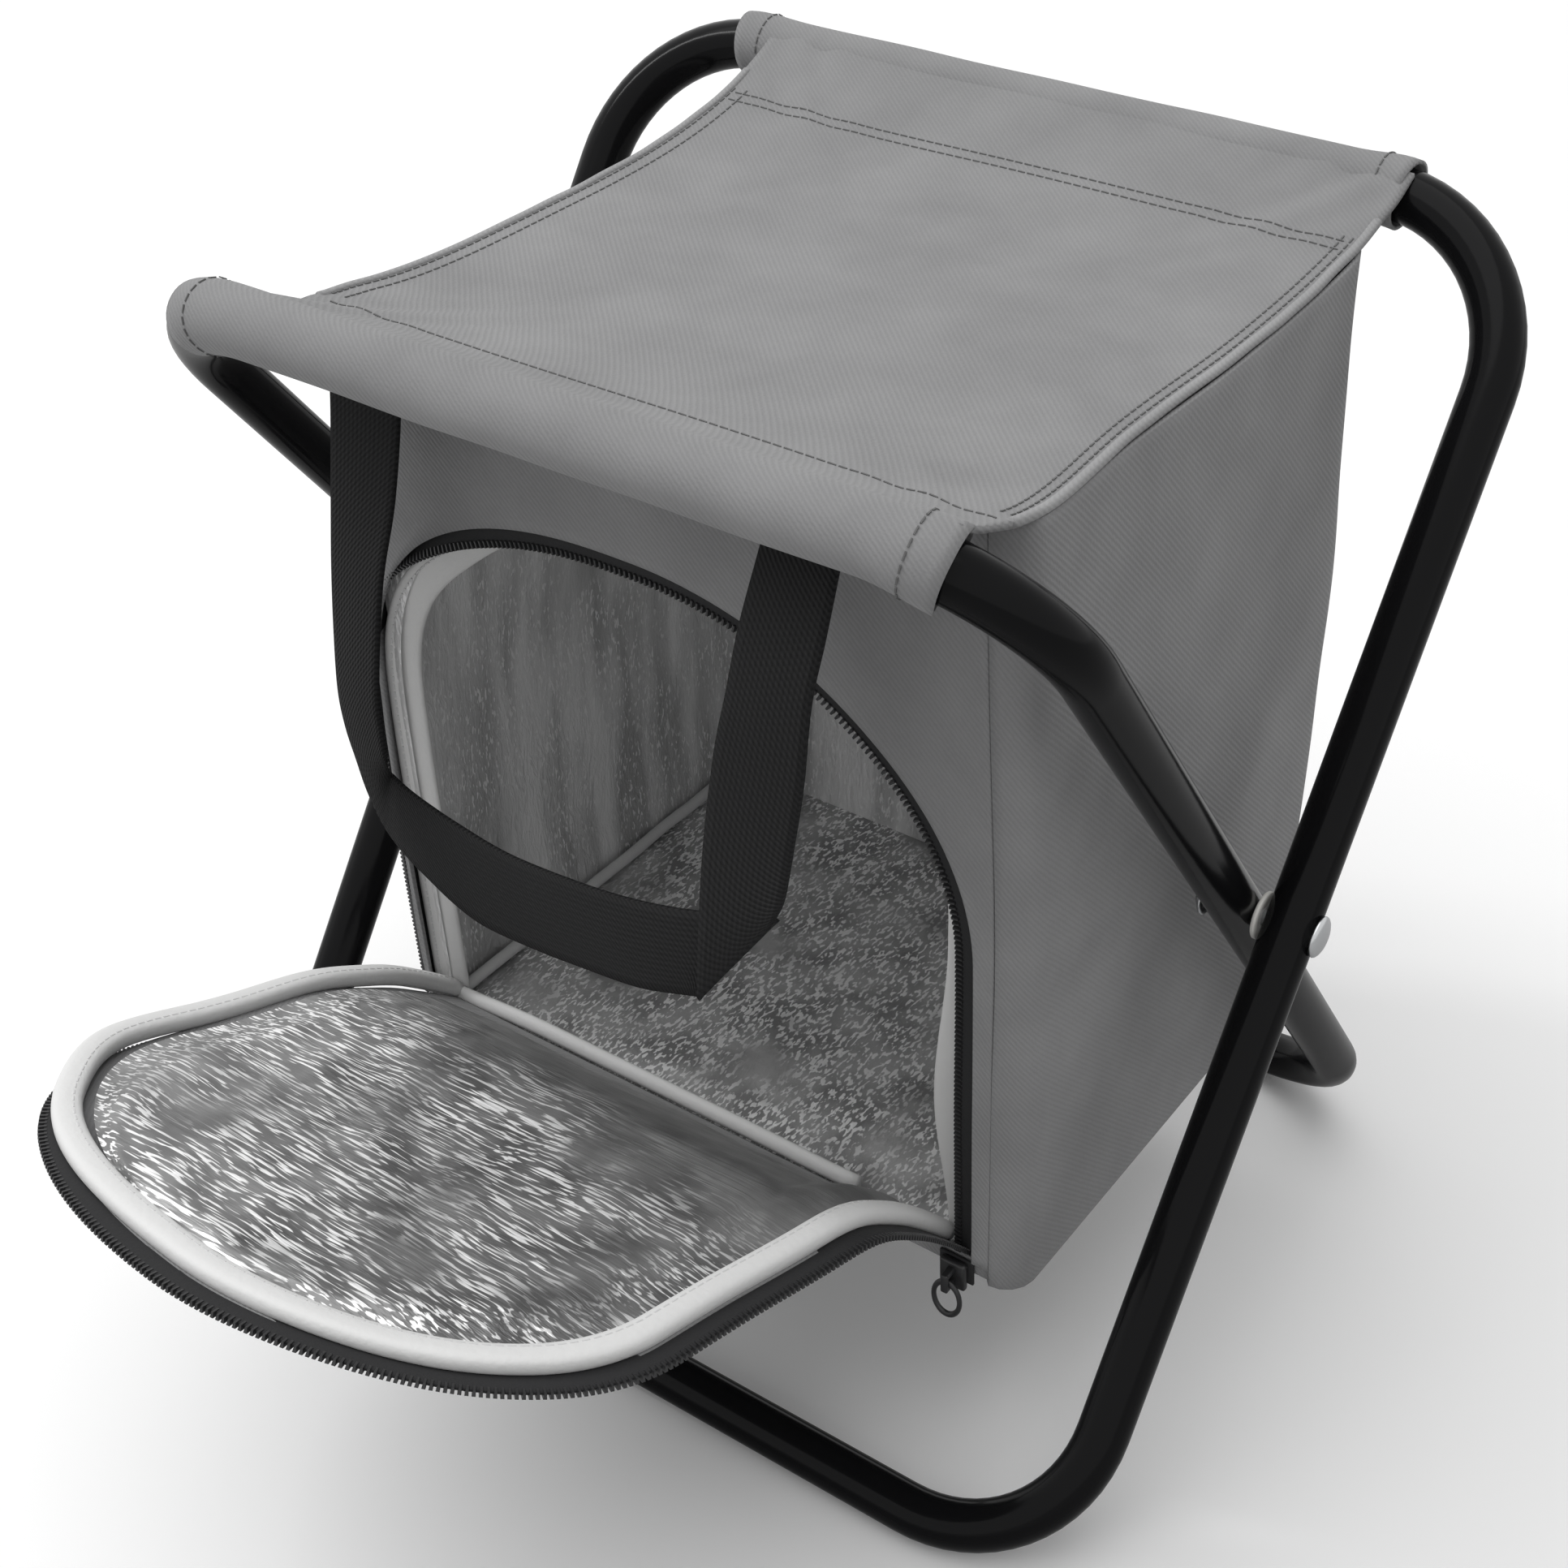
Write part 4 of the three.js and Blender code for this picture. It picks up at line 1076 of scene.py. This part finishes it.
def along_arch(offset, depth, tilt):
    shares = [step / ARCH_STEPS for step in range(ARCH_STEPS + 1)]
    points = []
    for share in shares:
        x, v = arch_edge(share, read_table(offset, share))
        points.append(front_point(x, v, read_table(depth, share)))
    return [place @ Matrix.Rotation(math.radians(read_table(tilt, share)), 4, "Z")
            for place, share in zip(follow(points, [WALL_OUT] * len(points)), shares)]


print("stations along the arch", ARCH_STEPS + 1)

# %% [markdown]
# The tape and the binding each have three short tables that say, for the share of the way round
# the arch, how far in they lie, how deep behind the wall's face, and how far they are tilted. The
# values change along the way, because the soft edge rolls in and out as the bag slumps.

# %% Zip tape and opening binding
tape_path = along_arch(((0, 1.4), (0.56, 1.4), (0.72, -3.9), (1, -3.9)),
                       ((0, 1.5), (0.56, 1.5), (0.72, 4.6), (1, 4.6)),
                       ((0, 0), (0.56, 0), (0.72, 84), (1, 84)))
bag_tape = make_piece(carry(round_profile(8.4, 1.2, 12, 5.0), tape_path),
                      "bag_zip_tape_band", tape_finish, "bag_front", ["bag_zip_tape"])
BINDING_TILT = ((0, 12), (0.24, 12), (0.36, -78), (0.52, -78), (0.66, -22), (1, -22))
BINDING_OFFSET = ((0, 7.5), (0.11, 12.6), (0.24, 8.0), (0.36, 4.8), (0.52, 4.8), (0.62, 7.6),
                  (0.74, 3.2), (1, 3.2))
BINDING_DEPTH = ((0, 8.6), (0.3, 9.0), (0.36, 10.6), (0.52, 10.6), (0.66, 6.4), (1, 5.4))
tilted = along_arch(BINDING_OFFSET, BINDING_DEPTH, BINDING_TILT)
opening_edge = make_piece(carry(round_profile(12.0, 2.4, 16, 3.2), tilted),
                          "opening_binding_band", binding_finish, "bag_front",
                          ["opening_binding"])

# %% [markdown]
# A coil zip's teeth are the turns of a plastic spiral. Each turn shows as a small block across the
# edge of the tape, so a block with a narrower top is made for every pitch along the arch.

# %% Zip teeth
TOOTH_WIDTH, TOOTH_DEPTH, TOOTH_LENGTH, TOOTH_PITCH = 2.8, 1.6, 1.05, 1.75


def lay_teeth(stations):
    bm = bmesh.new()
    reach = 0.0
    for here, there in zip(stations, stations[1:]):
        gap = (there.translation - here.translation).length
        while reach < gap:
            made = bmesh.ops.create_cube(bm, size=1.0)["verts"]
            bmesh.ops.scale(bm, vec=(TOOTH_WIDTH, TOOTH_DEPTH, TOOTH_LENGTH), verts=made)
            tips = [v for v in made if v.co.y > 0]
            bmesh.ops.scale(bm, vec=(0.8, 1.0, 0.6), verts=tips)
            bmesh.ops.transform(bm, matrix=here.lerp(there, reach / gap), verts=made)
            reach += TOOTH_PITCH
        reach -= gap
    return bm


teeth_path = [place @ Matrix.Translation((4.5, 0.4, 0)) for place in tape_path]
bag_teeth = make_piece(lay_teeth(teeth_path), "bag_zip_teeth_row", teeth_finish, "bag_front",
                       ["bag_zip_teeth"], smooth=False)

# %% [markdown]
# The binding is sewn on near its outer edge. The stitches lie on its face, so each one takes its
# place and its direction from the binding's own station at that spot.

# %% Stitches beside the opening
ON_BINDING = Vector((-3.4, 1.2, 0))
row = [(place @ ON_BINDING, place.to_3x3() @ Vector((0, 1, 0))) for place in tilted]
bm = bmesh.new()
binding_rows = lay_stitches(bm, row, pitch=3.0, length=2.0, width=0.5)
binding_threads = make_piece(bm, "opening_stitches", piping_finish, "bag_front", smooth=False)
print("stitches round the opening", binding_rows)

# %% [markdown]
# ## The flap
# The flap is the piece that was cut out of the front wall. It is padded, lined with foil, bound
# round its edge, and carries the other half of the zip. It stands open: it leans out from its hinge
# and bends at a crease, beyond which it lies nearly level. Two curves give its sides, and all that
# is on the flap is laid out flat and then set between them.

# %% How the flap hangs
FLAP_WIDER, FLAP_SHORTER = 4.5, 4.0
FLAP_LENGTH = SPRING_V + RISE - HINGE_V - FLAP_SHORTER
LEFT_SIDE = ((0, 43.1), (26, 41.6), (52, 29.8), (85, 15), (125, 22), (230, 5))
RIGHT_SIDE = ((0, 50), (26, 46.5), (52, 41), (85, 12), (125, 8), (230, 30))
CREASE_W, YAW = 53.0, math.radians(8.2)
FLAP_SPRING = SPRING_V - HINGE_V - FLAP_SHORTER
FLAP_TURN_X = -HALF_WIDTH + 6.7
CURVE_STEPS = 260


def side_curve(table):
    y, z = front_point(0, HINGE_V, 0).yz
    curve = [(y, z)]
    for step in range(CURVE_STEPS):
        angle = math.radians(read_table(table, step + 0.5))
        y -= math.cos(angle)
        z += math.sin(angle)
        curve.append((y, z))
    return curve


left_curve, right_curve = side_curve(LEFT_SIDE), side_curve(RIGHT_SIDE)


def on_curve(curve, reach):
    if reach <= 0:
        return Vector(curve[0])
    index = min(int(reach), len(curve) - 2)
    return Vector(curve[index]).lerp(Vector(curve[index + 1]), reach - index)


def flap_place(x, w):
    yaw = YAW * smooth_step((w - 12) / 80)
    dx, dw = x - FLAP_TURN_X, w - CREASE_W
    flat_x = FLAP_TURN_X + dx * math.cos(yaw) - dw * math.sin(yaw)
    flat_w = CREASE_W + dx * math.sin(yaw) + dw * math.cos(yaw)
    share = (flat_x + HALF_WIDTH) / (2 * HALF_WIDTH)
    left, right = on_curve(left_curve, flat_w), on_curve(right_curve, flat_w)
    y, z = left.lerp(right, share)
    sway = noise.noise(Vector((x * 0.014, w * 0.02, 2.2))) * smooth_step(w / 60)
    return Vector((flat_x, y, z + 1.6 * sway))


def flap_frame(x, w):
    here = flap_place(x, w)
    across = flap_place(x + 1, w) - flap_place(x - 1, w)
    along = flap_place(x, w + 1) - flap_place(x, max(w - 1, 0))
    return here, across.cross(along).normalized()


def flap_point(x, w, depth):
    here, outward = flap_frame(x, w)
    return here - outward * depth


print("tip of the flap", [round(v) for v in flap_place(0, FLAP_LENGTH)])

# %% [markdown]
# The outline of the flap is the arch again, so that the two halves of the zip meet when it closes.

# %% Outline of the flap
def flap_edge(share, offset):
    x, v = arch_edge(share, offset)
    half = HALF_WIDTH - offset
    w = v - HINGE_V
    w -= FLAP_SHORTER * min(w / ARCH_LEG, 1)
    return x * (half + FLAP_WIDER) / half, w


def flap_row(w, offset):
    half, rise = HALF_WIDTH + FLAP_WIDER - offset, RISE - offset
    if w <= FLAP_SPRING:
        return -half, half
    up = min((w - FLAP_SPRING) / rise, 1.0)
    return (-half * (1 - up ** POWER_LEFT) ** (1 / POWER_LEFT),
            half * (1 - up ** POWER_RIGHT) ** (1 / POWER_RIGHT))


LEG_SHARE, TIP_SHARE = 0.55, 0.97


def flap_sheet(offset, across, along, shape):
    def inside_outline(u, t):
        w = FLAP_SPRING * t / LEG_SHARE
        if t >= LEG_SHARE:
            up = (t - LEG_SHARE) / (1 - LEG_SHARE) * TIP_SHARE
            w = FLAP_SPRING + (RISE - offset) * math.sin(math.pi / 2 * up)
        left, right = flap_row(w, offset)
        return shape(left + (right - left) * u, w, u, t)
    bm = draw_grid(across, along, inside_outline)
    bmesh.ops.recalc_face_normals(bm, faces=bm.faces)
    return bm


BLEND_BEFORE, BLEND_AFTER = 24, 30


def make_flap_piece(bm, name, finish, stands_for=(), smooth=True):
    piece = make_piece(bm, name, finish, None, stands_for, smooth)
    near = flap_place(0, CREASE_W - BLEND_BEFORE)
    far = flap_place(0, CREASE_W + BLEND_AFTER)
    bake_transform(piece)
    return piece


print("flap is", round(FLAP_LENGTH), "mm long and", round(flap_row(0, 0)[1] * 2), "mm wide")

# %% [markdown]
# The flap is two sheets. The outer one is plain cloth, and the inner one is foil that swells up
# over the padding, flat at the hinge and at the binding and crushed into soft lumps between them.

# %% Flap cloth and padding
flap_cloth = make_flap_piece(
    flap_sheet(13.0, 70, 90, lambda x, w, u, t: flap_point(x, w, 0.4 - 0.8 * math.sin(w * 0.05))),
    "flap_cloth", cloth,
    ["flap_panel_lower", "flap_panel_upper", "flap_gusset"])
add_thickness(flap_cloth, CLOTH)


def padded_surface(x, w, u, t):
    rim = smooth_step(min(u, 1 - u) * 9) * smooth_step((1 - t) * 9) * smooth_step(t * 12)
    crush = noise.noise(Vector((x * 0.018 + w * 0.006, w * 0.034, 11.0))) * 3.0
    crush += noise.noise(Vector((x * 0.05, w * 0.075, 4.0))) * 1.6
    rise = max(smooth_step((w - 20) / 60), smooth_step((x - 60) / 26))
    rough = (crush + dent(Vector((x, w, 3.0)), 0.8)) * (0.25 + 0.75 * rim)
    rough *= 0.1 + 0.9 * smooth_step(w / 80)
    return flap_point(x, w, 1.4 + (3.8 + 3.2 * rim) * rise + 0.7 * rough)


flap_lining = make_flap_piece(
    flap_sheet(20.0, 150, 170, padded_surface),
    "flap_foil", flap_foil,
    ["flap_lining_lower", "flap_lining_upper", "flap_gusset_lining"])

# %% [markdown]
# A pale binding covers the pad's edge all the way round. Outside it run the tape and the teeth of
# the flap's half of the zip, and on the left, where the binding has rolled out over them, they lie
# behind it. Each is carried along the flap's outline, at a distance in from the edge and a height
# over the cloth that are read from short tables.

# %% Flap binding, tape and teeth
FLAP_STEPS = 160


def flap_line(offset, rise):
    points, normals = [], []
    for step in range(FLAP_STEPS + 1):
        share = step / FLAP_STEPS
        here, outward = flap_frame(*flap_edge(share, read_table(offset, share)))
        points.append(here - outward * read_table(rise, share))
        normals.append(-outward)
    return points, normals


def carry_on_flap(profile, offset, rise):
    return carry(profile, follow(*flap_line(offset, rise)))


BINDING_IN = ((0, 17.5), (0.5, 17.5), (0.64, 13), (0.72, 9.6), (1, 9.6))
BINDING_RISE = ((0, 4.4), (1, 4.4))
TAPE_IN = ((0, 11), (0.6, 11), (0.7, 14), (1, 14))
TEETH_IN = ((0, 7.2), (0.6, 7.2), (0.7, 11), (1, 11))
TAPE_RISE = ((0, 1.5), (0.62, 1.5), (0.7, -1.2), (1, -1.2))
FLAP_PARTS = ("lower_left", "lower_right", "upper")
flap_binding = make_flap_piece(
    carry_on_flap(round_profile(8.6, 6.0, 20, 2.8), BINDING_IN, BINDING_RISE), "flap_binding_band",
    binding_finish, [f"flap_binding_{part}" for part in FLAP_PARTS])
make_flap_piece(
    carry_on_flap(round_profile(7.6, 1.2, 12, 5.0), TAPE_IN, TAPE_RISE), "flap_zip_tape_band",
    tape_finish, [f"flap_zip_tape_{part}" for part in FLAP_PARTS])
make_flap_piece(
    lay_teeth(follow(*flap_line(TEETH_IN, TAPE_RISE))), "flap_zip_teeth_row", teeth_finish,
    [f"flap_zip_teeth_{part}" for part in FLAP_PARTS], smooth=False)

# %% [markdown]
# One row of pale stitches holds the flap's binding. It lies on the binding's rounded top, a little
# to the inside of its middle.

# %% Stitches on the flap's binding
STITCH_IN = tuple((share, inward + 1.6) for share, inward in BINDING_IN)
STITCH_RISE = ((0, 7.25), (1, 7.25))
bm = bmesh.new()
flap_rows = lay_stitches(bm, list(zip(*flap_line(STITCH_IN, STITCH_RISE))), length=2.2)
make_flap_piece(bm, "flap_stitches", piping_finish, smooth=False)
print("stitches on the flap", flap_rows)

# %% [markdown]
# ## The handle
# The handle is one length of webbing, sewn behind the front bar at both ends. It twists as it
# turns its left corner, and at its right corner it is folded over on itself. Its two edges were
# measured, so the strap is a grid drawn between them, and the fold is one row of that grid.

# %% The two edges of the strap
BACK_RUN = (
    ((-85, -116, 341), (-60.5, -116, 341)), ((-85, -117, 328), (-60.5, -117, 329)),
    ((-85, -121, 303), (-60.9, -122.3, 306)), ((-84.2, -125.4, 280), (-61.4, -129.4, 286)),
    ((-84.2, -127.9, 259), (-62.2, -133.6, 264)), ((-84.1, -129.4, 241), (-62.8, -135.4, 248)),
    ((-84, -128.6, 228), (-63.6, -134.6, 237)), ((-83.2, -127, 216), (-64.6, -133.4, 228)),
    ((-81.5, -125.6, 203), (-67.2, -130.6, 221.8)), ((-75.9, -125.8, 192.6), (-70, -127.4, 215.8)),
    ((-66.4, -127.9, 187.8), (-67.6, -127, 213.6)), ((-56.7, -129.5, 184.6), (-63, -126.8, 211.4)),
    ((-45.4, -130.8, 180.8), (-56, -127, 209.6)), ((-32.5, -132.4, 179.4), (-45, -128.2, 208.6)),
    ((-9.6, -136.8, 184.6), (-24, -131.8, 209.7)), ((13.4, -142.5, 192.6), (0, -137.4, 216)),
    ((37.7, -147.6, 200.8), (28, -143, 224.4)), ((54, -148.4, 206.8), (54, -147, 234)),
    ((59.4, -148.4, 208.9), (85.4, -149.6, 247.3)),
)
FRONT_RUN = (
    ((59.8, -150.6, 209.2), (85.8, -151.6, 247.9)), ((62.6, -152.2, 232), (88.1, -150.9, 255)),
    ((62.4, -148.6, 259), (88.6, -147.6, 268)), ((62.5, -143, 285.2), (88.6, -143, 284.8)),
    ((63.1, -138.1, 300.8), (87, -137.2, 305)), ((62.8, -132, 316.1), (86.8, -131, 320)),
    ((64, -123.8, 336.1), (86.1, -123.7, 336.4)), ((64.2, -122.4, 341), (86.2, -122.4, 341)),
)


def smooth_run(run, pieces=6):
    rows = []
    for index in range(len(run) - 1):
        near = [run[min(max(index + step, 0), len(run) - 1)] for step in (-1, 0, 1, 2)]
        for step in range(pieces):
            t = step / pieces
            pair = []
            for a, b, c, d in zip(*near):
                a, b, c, d = map(Vector, (a, b, c, d))
                pair.append(0.5 * (2 * b + (c - a) * t + (2 * a - 5 * b + 4 * c - d) * t ** 2
                                   + (3 * b - a - 3 * c + d) * t ** 3))
            rows.append(pair)
    rows.append([Vector(end) for end in run[-1]])
    return rows


strap_rows = smooth_run(BACK_RUN) + smooth_run(FRONT_RUN)
print("rows along the strap", len(strap_rows))

# %% [markdown]
# The weave has to follow the strap, so each corner of the grid keeps its distance along and across
# the strap in a UV map. The bowed middle keeps the webbing from looking like a ribbon of paper.

# %% Handle
STRAP_WIDTH, STRAP_THICKNESS, STRAP_BOW = 24.5, 1.7, 0.5
bm = bmesh.new()
bmesh.ops.create_grid(bm, x_segments=10, y_segments=len(strap_rows) - 1, size=0.5)
reached = [0.0]
for before, after in zip(strap_rows, strap_rows[1:]):
    reached.append(reached[-1] + (sum(after, Vector()) / 2 - sum(before, Vector()) / 2).length)
uv_of = {}
for vertex in bm.verts:
    across = vertex.co.x + 0.5
    row = round((vertex.co.y + 0.5) * (len(strap_rows) - 1))
    one, other = strap_rows[row]
    uv_of[vertex.index] = (across * STRAP_WIDTH, reached[row])
    vertex.co = one.lerp(other, across)
    vertex.co.y -= STRAP_BOW * math.sin(math.pi * across)
layer = bm.loops.layers.uv.new("strap")
for face in bm.faces:
    for loop in face.loops:
        loop[layer].uv = uv_of[loop.vert.index]
handle = make_piece(bm, "handle_strap", webbing_finish, "handle", ["handle_webbing"])
add_thickness(handle, STRAP_THICKNESS, 0.0)
print("strap length", round(reached[-1]), "mm")

# %% [markdown]
# The strap's two ends are caught in short tabs that go up behind the front sleeve and are sewn
# under the seat. Each is a flat profile carried down a short straight path.

# %% Tabs that the handle hangs from
HANDLE_TOP = 340.7
for name, x, y in (("left", -72.8, -116.0), ("right", 75.2, -122.4)):
    top = Vector((x, y + 5.0, seat_height(x, y + 5.0) - 3.4))
    foot = Vector((x, y, HANDLE_TOP - 0.6))
    places = [station(top.lerp(foot, step / 4), foot - top, Vector((0, -1, 0)))
              for step in range(5)]
    make_piece(carry(round_profile(STRAP_WIDTH, STRAP_THICKNESS, 24, 7.0), places),
               f"handle_tab_{name}_webbing", tape_finish, "bag_front", [f"handle_tab_{name}"])

# %% [markdown]
# ## The slider
# The slider is a small moulding with two posts and a bridge over its face, and a short tab is sewn
# across the end of the teeth. Both are made of cubes with bevelled edges, set down on the wall by
# their height up the cloth and their depth in front of it.

# %% Slider and end tab
SLIDER_X = HALF_WIDTH - 5.2


def wall_block(bm, v0, v1, half_width, depth0, depth1, bevel):
    before = set(bm.verts)
    made = bmesh.ops.create_cube(bm, size=1.0)["verts"]
    bmesh.ops.scale(bm, vec=(2 * half_width, depth1 - depth0, v1 - v0), verts=made)
    edges = list({e for v in made for e in v.link_edges})
    bmesh.ops.bevel(bm, geom=edges, offset=bevel, segments=3, profile=0.5, affect="EDGES",
                    material=-1)
    block = [v for v in bm.verts if v not in before]
    middle = front_point(SLIDER_X, (v0 + v1) / 2, (depth0 + depth1) / 2)
    turn = Matrix.Translation(middle) @ Matrix.Rotation(FRONT_LEAN, 4, "X")
    bmesh.ops.transform(bm, matrix=turn, verts=block)


SLIDER_BLOCKS = ((-3.6, 7.4, 4.5, -4.1, -1.7, 0.9), (-1.9, 0.2, 1.2, -8.0, -3.6, 0.5),
                 (3.6, 5.7, 1.2, -8.0, -3.6, 0.5), (-1.9, 5.7, 1.2, -8.7, -7.2, 0.5))
bm = bmesh.new()
wall_block(bm, -2.2, 7.7, 6.0, -1.4, -0.3, 0.4)
make_piece(bm, "zip_end_tab_patch", tape_finish, "bag_front", ["zip_end_tab"])
bm = bmesh.new()
for block in SLIDER_BLOCKS:
    wall_block(bm, *block)
make_piece(bm, "zip_slider_body", teeth_finish, "bag_front", ["zip_slider"])

# %% [markdown]
# The pull ring is a thin round wire. A small circle is spun round to make it, and the ring is then
# drawn out to the height that the CAD gave it, whose box is asked for and not typed in again.

# %% Pull ring
RING_WIRE = 0.8
low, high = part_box("zip_pull_ring")
ring_low, ring_high = (low - PLACE) / MM, (high - PLACE) / MM
half_x, half_z = ((end - start) / 2 - RING_WIRE for start, end in
                  ((ring_low.x, ring_high.x), (ring_low.z, ring_high.z)))
print("ring half sizes", round(half_x, 1), round(half_z, 1), "mm")
bm = bmesh.new()
bmesh.ops.create_circle(bm, segments=16, radius=RING_WIRE,
                        matrix=Matrix.Translation((half_x, 0, 0)))
bmesh.ops.spin(bm, geom=bm.verts[:] + bm.edges[:], cent=(0, 0, 0), axis=(0, 1, 0),
               angle=2 * math.pi, steps=48, use_merge=True)
bmesh.ops.remove_doubles(bm, verts=bm.verts, dist=0.001)
bmesh.ops.recalc_face_normals(bm, faces=bm.faces)
bmesh.ops.scale(bm, vec=(1, 1, half_z / half_x), verts=bm.verts)
bmesh.ops.translate(bm, vec=(ring_low + ring_high) / 2, verts=bm.verts)
make_piece(bm, "zip_ring", teeth_finish, "zip_pull", ["zip_pull_ring"])

# %% [markdown]
# ## The soft pieces
# When the stool folds, the bag and the seat are squeezed flat between the frames. Here the pieces
# of the bag, the seat and the front wall are each given a mesh of their own.

# %% Give the soft pieces meshes of their own
in_bag = [bag_walls, base, lining_walls, lining_floor, lining_top, *piping]
in_seat = [seat, left_edge, right_edge, seat_threads]
in_front = [front_wall, front_strip, lining_front, bag_tape, opening_edge, bag_teeth,
            binding_threads, hinge_cord]
for piece in in_bag:
    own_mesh(piece)
for piece in in_seat:
    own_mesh(piece)
for piece in in_front:
    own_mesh(piece)
print("pieces that flatten", len(in_bag) + len(in_seat) + len(in_front))

# %% [markdown]
# The area of each piece of plain cloth is measured over its faces and printed.

# %% Areas of the cloth pieces
for piece in (seat, bag_walls, base, front_strip, rear_sleeve, front_sleeve):
    area = sum(face.area for face in piece.data.polygons)
    print(piece.name, "cloth area", round(area, 4), "square metres")

# %% [markdown]
# ## The room
# The stool stands on a wide pale floor. The camera sees the floor as plain white, and the light
# that it throws back on the stool is greyer. When the stool folds, its feet come lower than at
# rest.

# %% Floor
bpy.ops.mesh.primitive_plane_add(size=12, location=(0, 0, 0))
floor = bpy.context.object
floor.name = "floor"
floor_finish, tree, shader = start_finish("floor_paint", (0.55, 0.55, 0.55), 0.9)
shader.inputs["Specular IOR Level"].default_value = 0.0
relief(tree, shader, noise_map(tree, object_space(tree), 2.0, 2.0), 0.02, 0.001)
seen_floor = add_node(tree, "ShaderNodeBsdfDiffuse", Color=(1, 1, 1, 1))
floor_mix = add_node(tree, "ShaderNodeMixShader")
floor_rays = add_node(tree, "ShaderNodeLightPath")
tree.links.new(floor_rays.outputs["Is Camera Ray"], floor_mix.inputs[0])
tree.links.new(shader.outputs[0], floor_mix.inputs[1])
tree.links.new(seen_floor.outputs[0], floor_mix.inputs[2])
tree.links.new(floor_mix.outputs[0], tree.nodes["Material Output"].inputs["Surface"])
floor.data.materials.append(floor_finish)
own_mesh(floor)

# %% [markdown]
# The world is plain white. Rays that go straight to the camera, or by way of a gloss or a clear
# piece, see it at full strength, and the light that it sheds on the stool is weaker, to leave room
# for the lamps.

# %% World
world = bpy.data.worlds.new("studio")
bpy.context.scene.world = world
world.use_nodes = True
world_tree = world.node_tree
backdrop = world_tree.nodes["Background"]
backdrop.inputs["Color"].default_value = (1, 1, 1, 1)
backdrop.inputs["Strength"].default_value = 0.55
output = world_tree.nodes["World Output"]
seen = add_node(world_tree, "ShaderNodeBackground", Color=(1, 1, 1, 1))
rays = add_node(world_tree, "ShaderNodeLightPath")
direct = add_node(world_tree, "ShaderNodeMath", operation="MAXIMUM")
any_ray = add_node(world_tree, "ShaderNodeMath", operation="MAXIMUM")
mixed = add_node(world_tree, "ShaderNodeMixShader")
for source, target in ((rays.outputs["Is Camera Ray"], direct.inputs[0]),
                       (rays.outputs["Is Glossy Ray"], direct.inputs[1]),
                       (direct.outputs[0], any_ray.inputs[0]),
                       (rays.outputs["Is Transmission Ray"], any_ray.inputs[1]),
                       (any_ray.outputs[0], mixed.inputs[0]),
                       (backdrop.outputs[0], mixed.inputs[1]),
                       (seen.outputs[0], mixed.inputs[2]),
                       (mixed.outputs[0], output.inputs["Surface"])):
    world_tree.links.new(source, target)
print("world", world.name, "lights the stool at", backdrop.inputs["Strength"].default_value)

# %% [markdown]
# A broad soft light above gives the shapes their form, and a long narrow one high on the left draws
# the highlights along the tubes and over the foil.

# %% Lamps
def add_lamp(name, kind, place, aim, power):
    light = bpy.data.lights.new(name, kind)
    light.energy = power
    lamp = bpy.data.objects.new(name, light)
    bpy.context.collection.objects.link(lamp)
    turn = (Vector(aim) - Vector(place)).to_track_quat("-Z", "Y").to_matrix().to_4x4()
    lamp.matrix_world = Matrix.Translation(place) @ turn
    return light


ceiling = add_lamp("ceiling_lamp", "SUN", (-0.4, -0.4, 2.4), (0, 0, 0.2), 1.25)
ceiling.angle = math.radians(70)
strip = add_lamp("strip_lamp", "AREA", (-1.35, -0.45, 1.9), (0, 0, 0.2), 12)
strip.shape = "RECTANGLE"
strip.size, strip.size_y = 0.18, 1.4
print("lamps", ceiling.name, strip.name)

# %% [markdown]
# A plug inside the tube holds the two ends of each loop together. The plugs stay as the CAD drew
# them and only need a finish.

# %% Finish the plugs
for name in ("outer_frame_joint_plug", "inner_frame_joint_plug"):
    plug = frame["nodes"][name]
    plug.data.materials.clear()
    plug.data.materials.append(steel_finish)
    print(name, "is finished in", steel_finish.name)
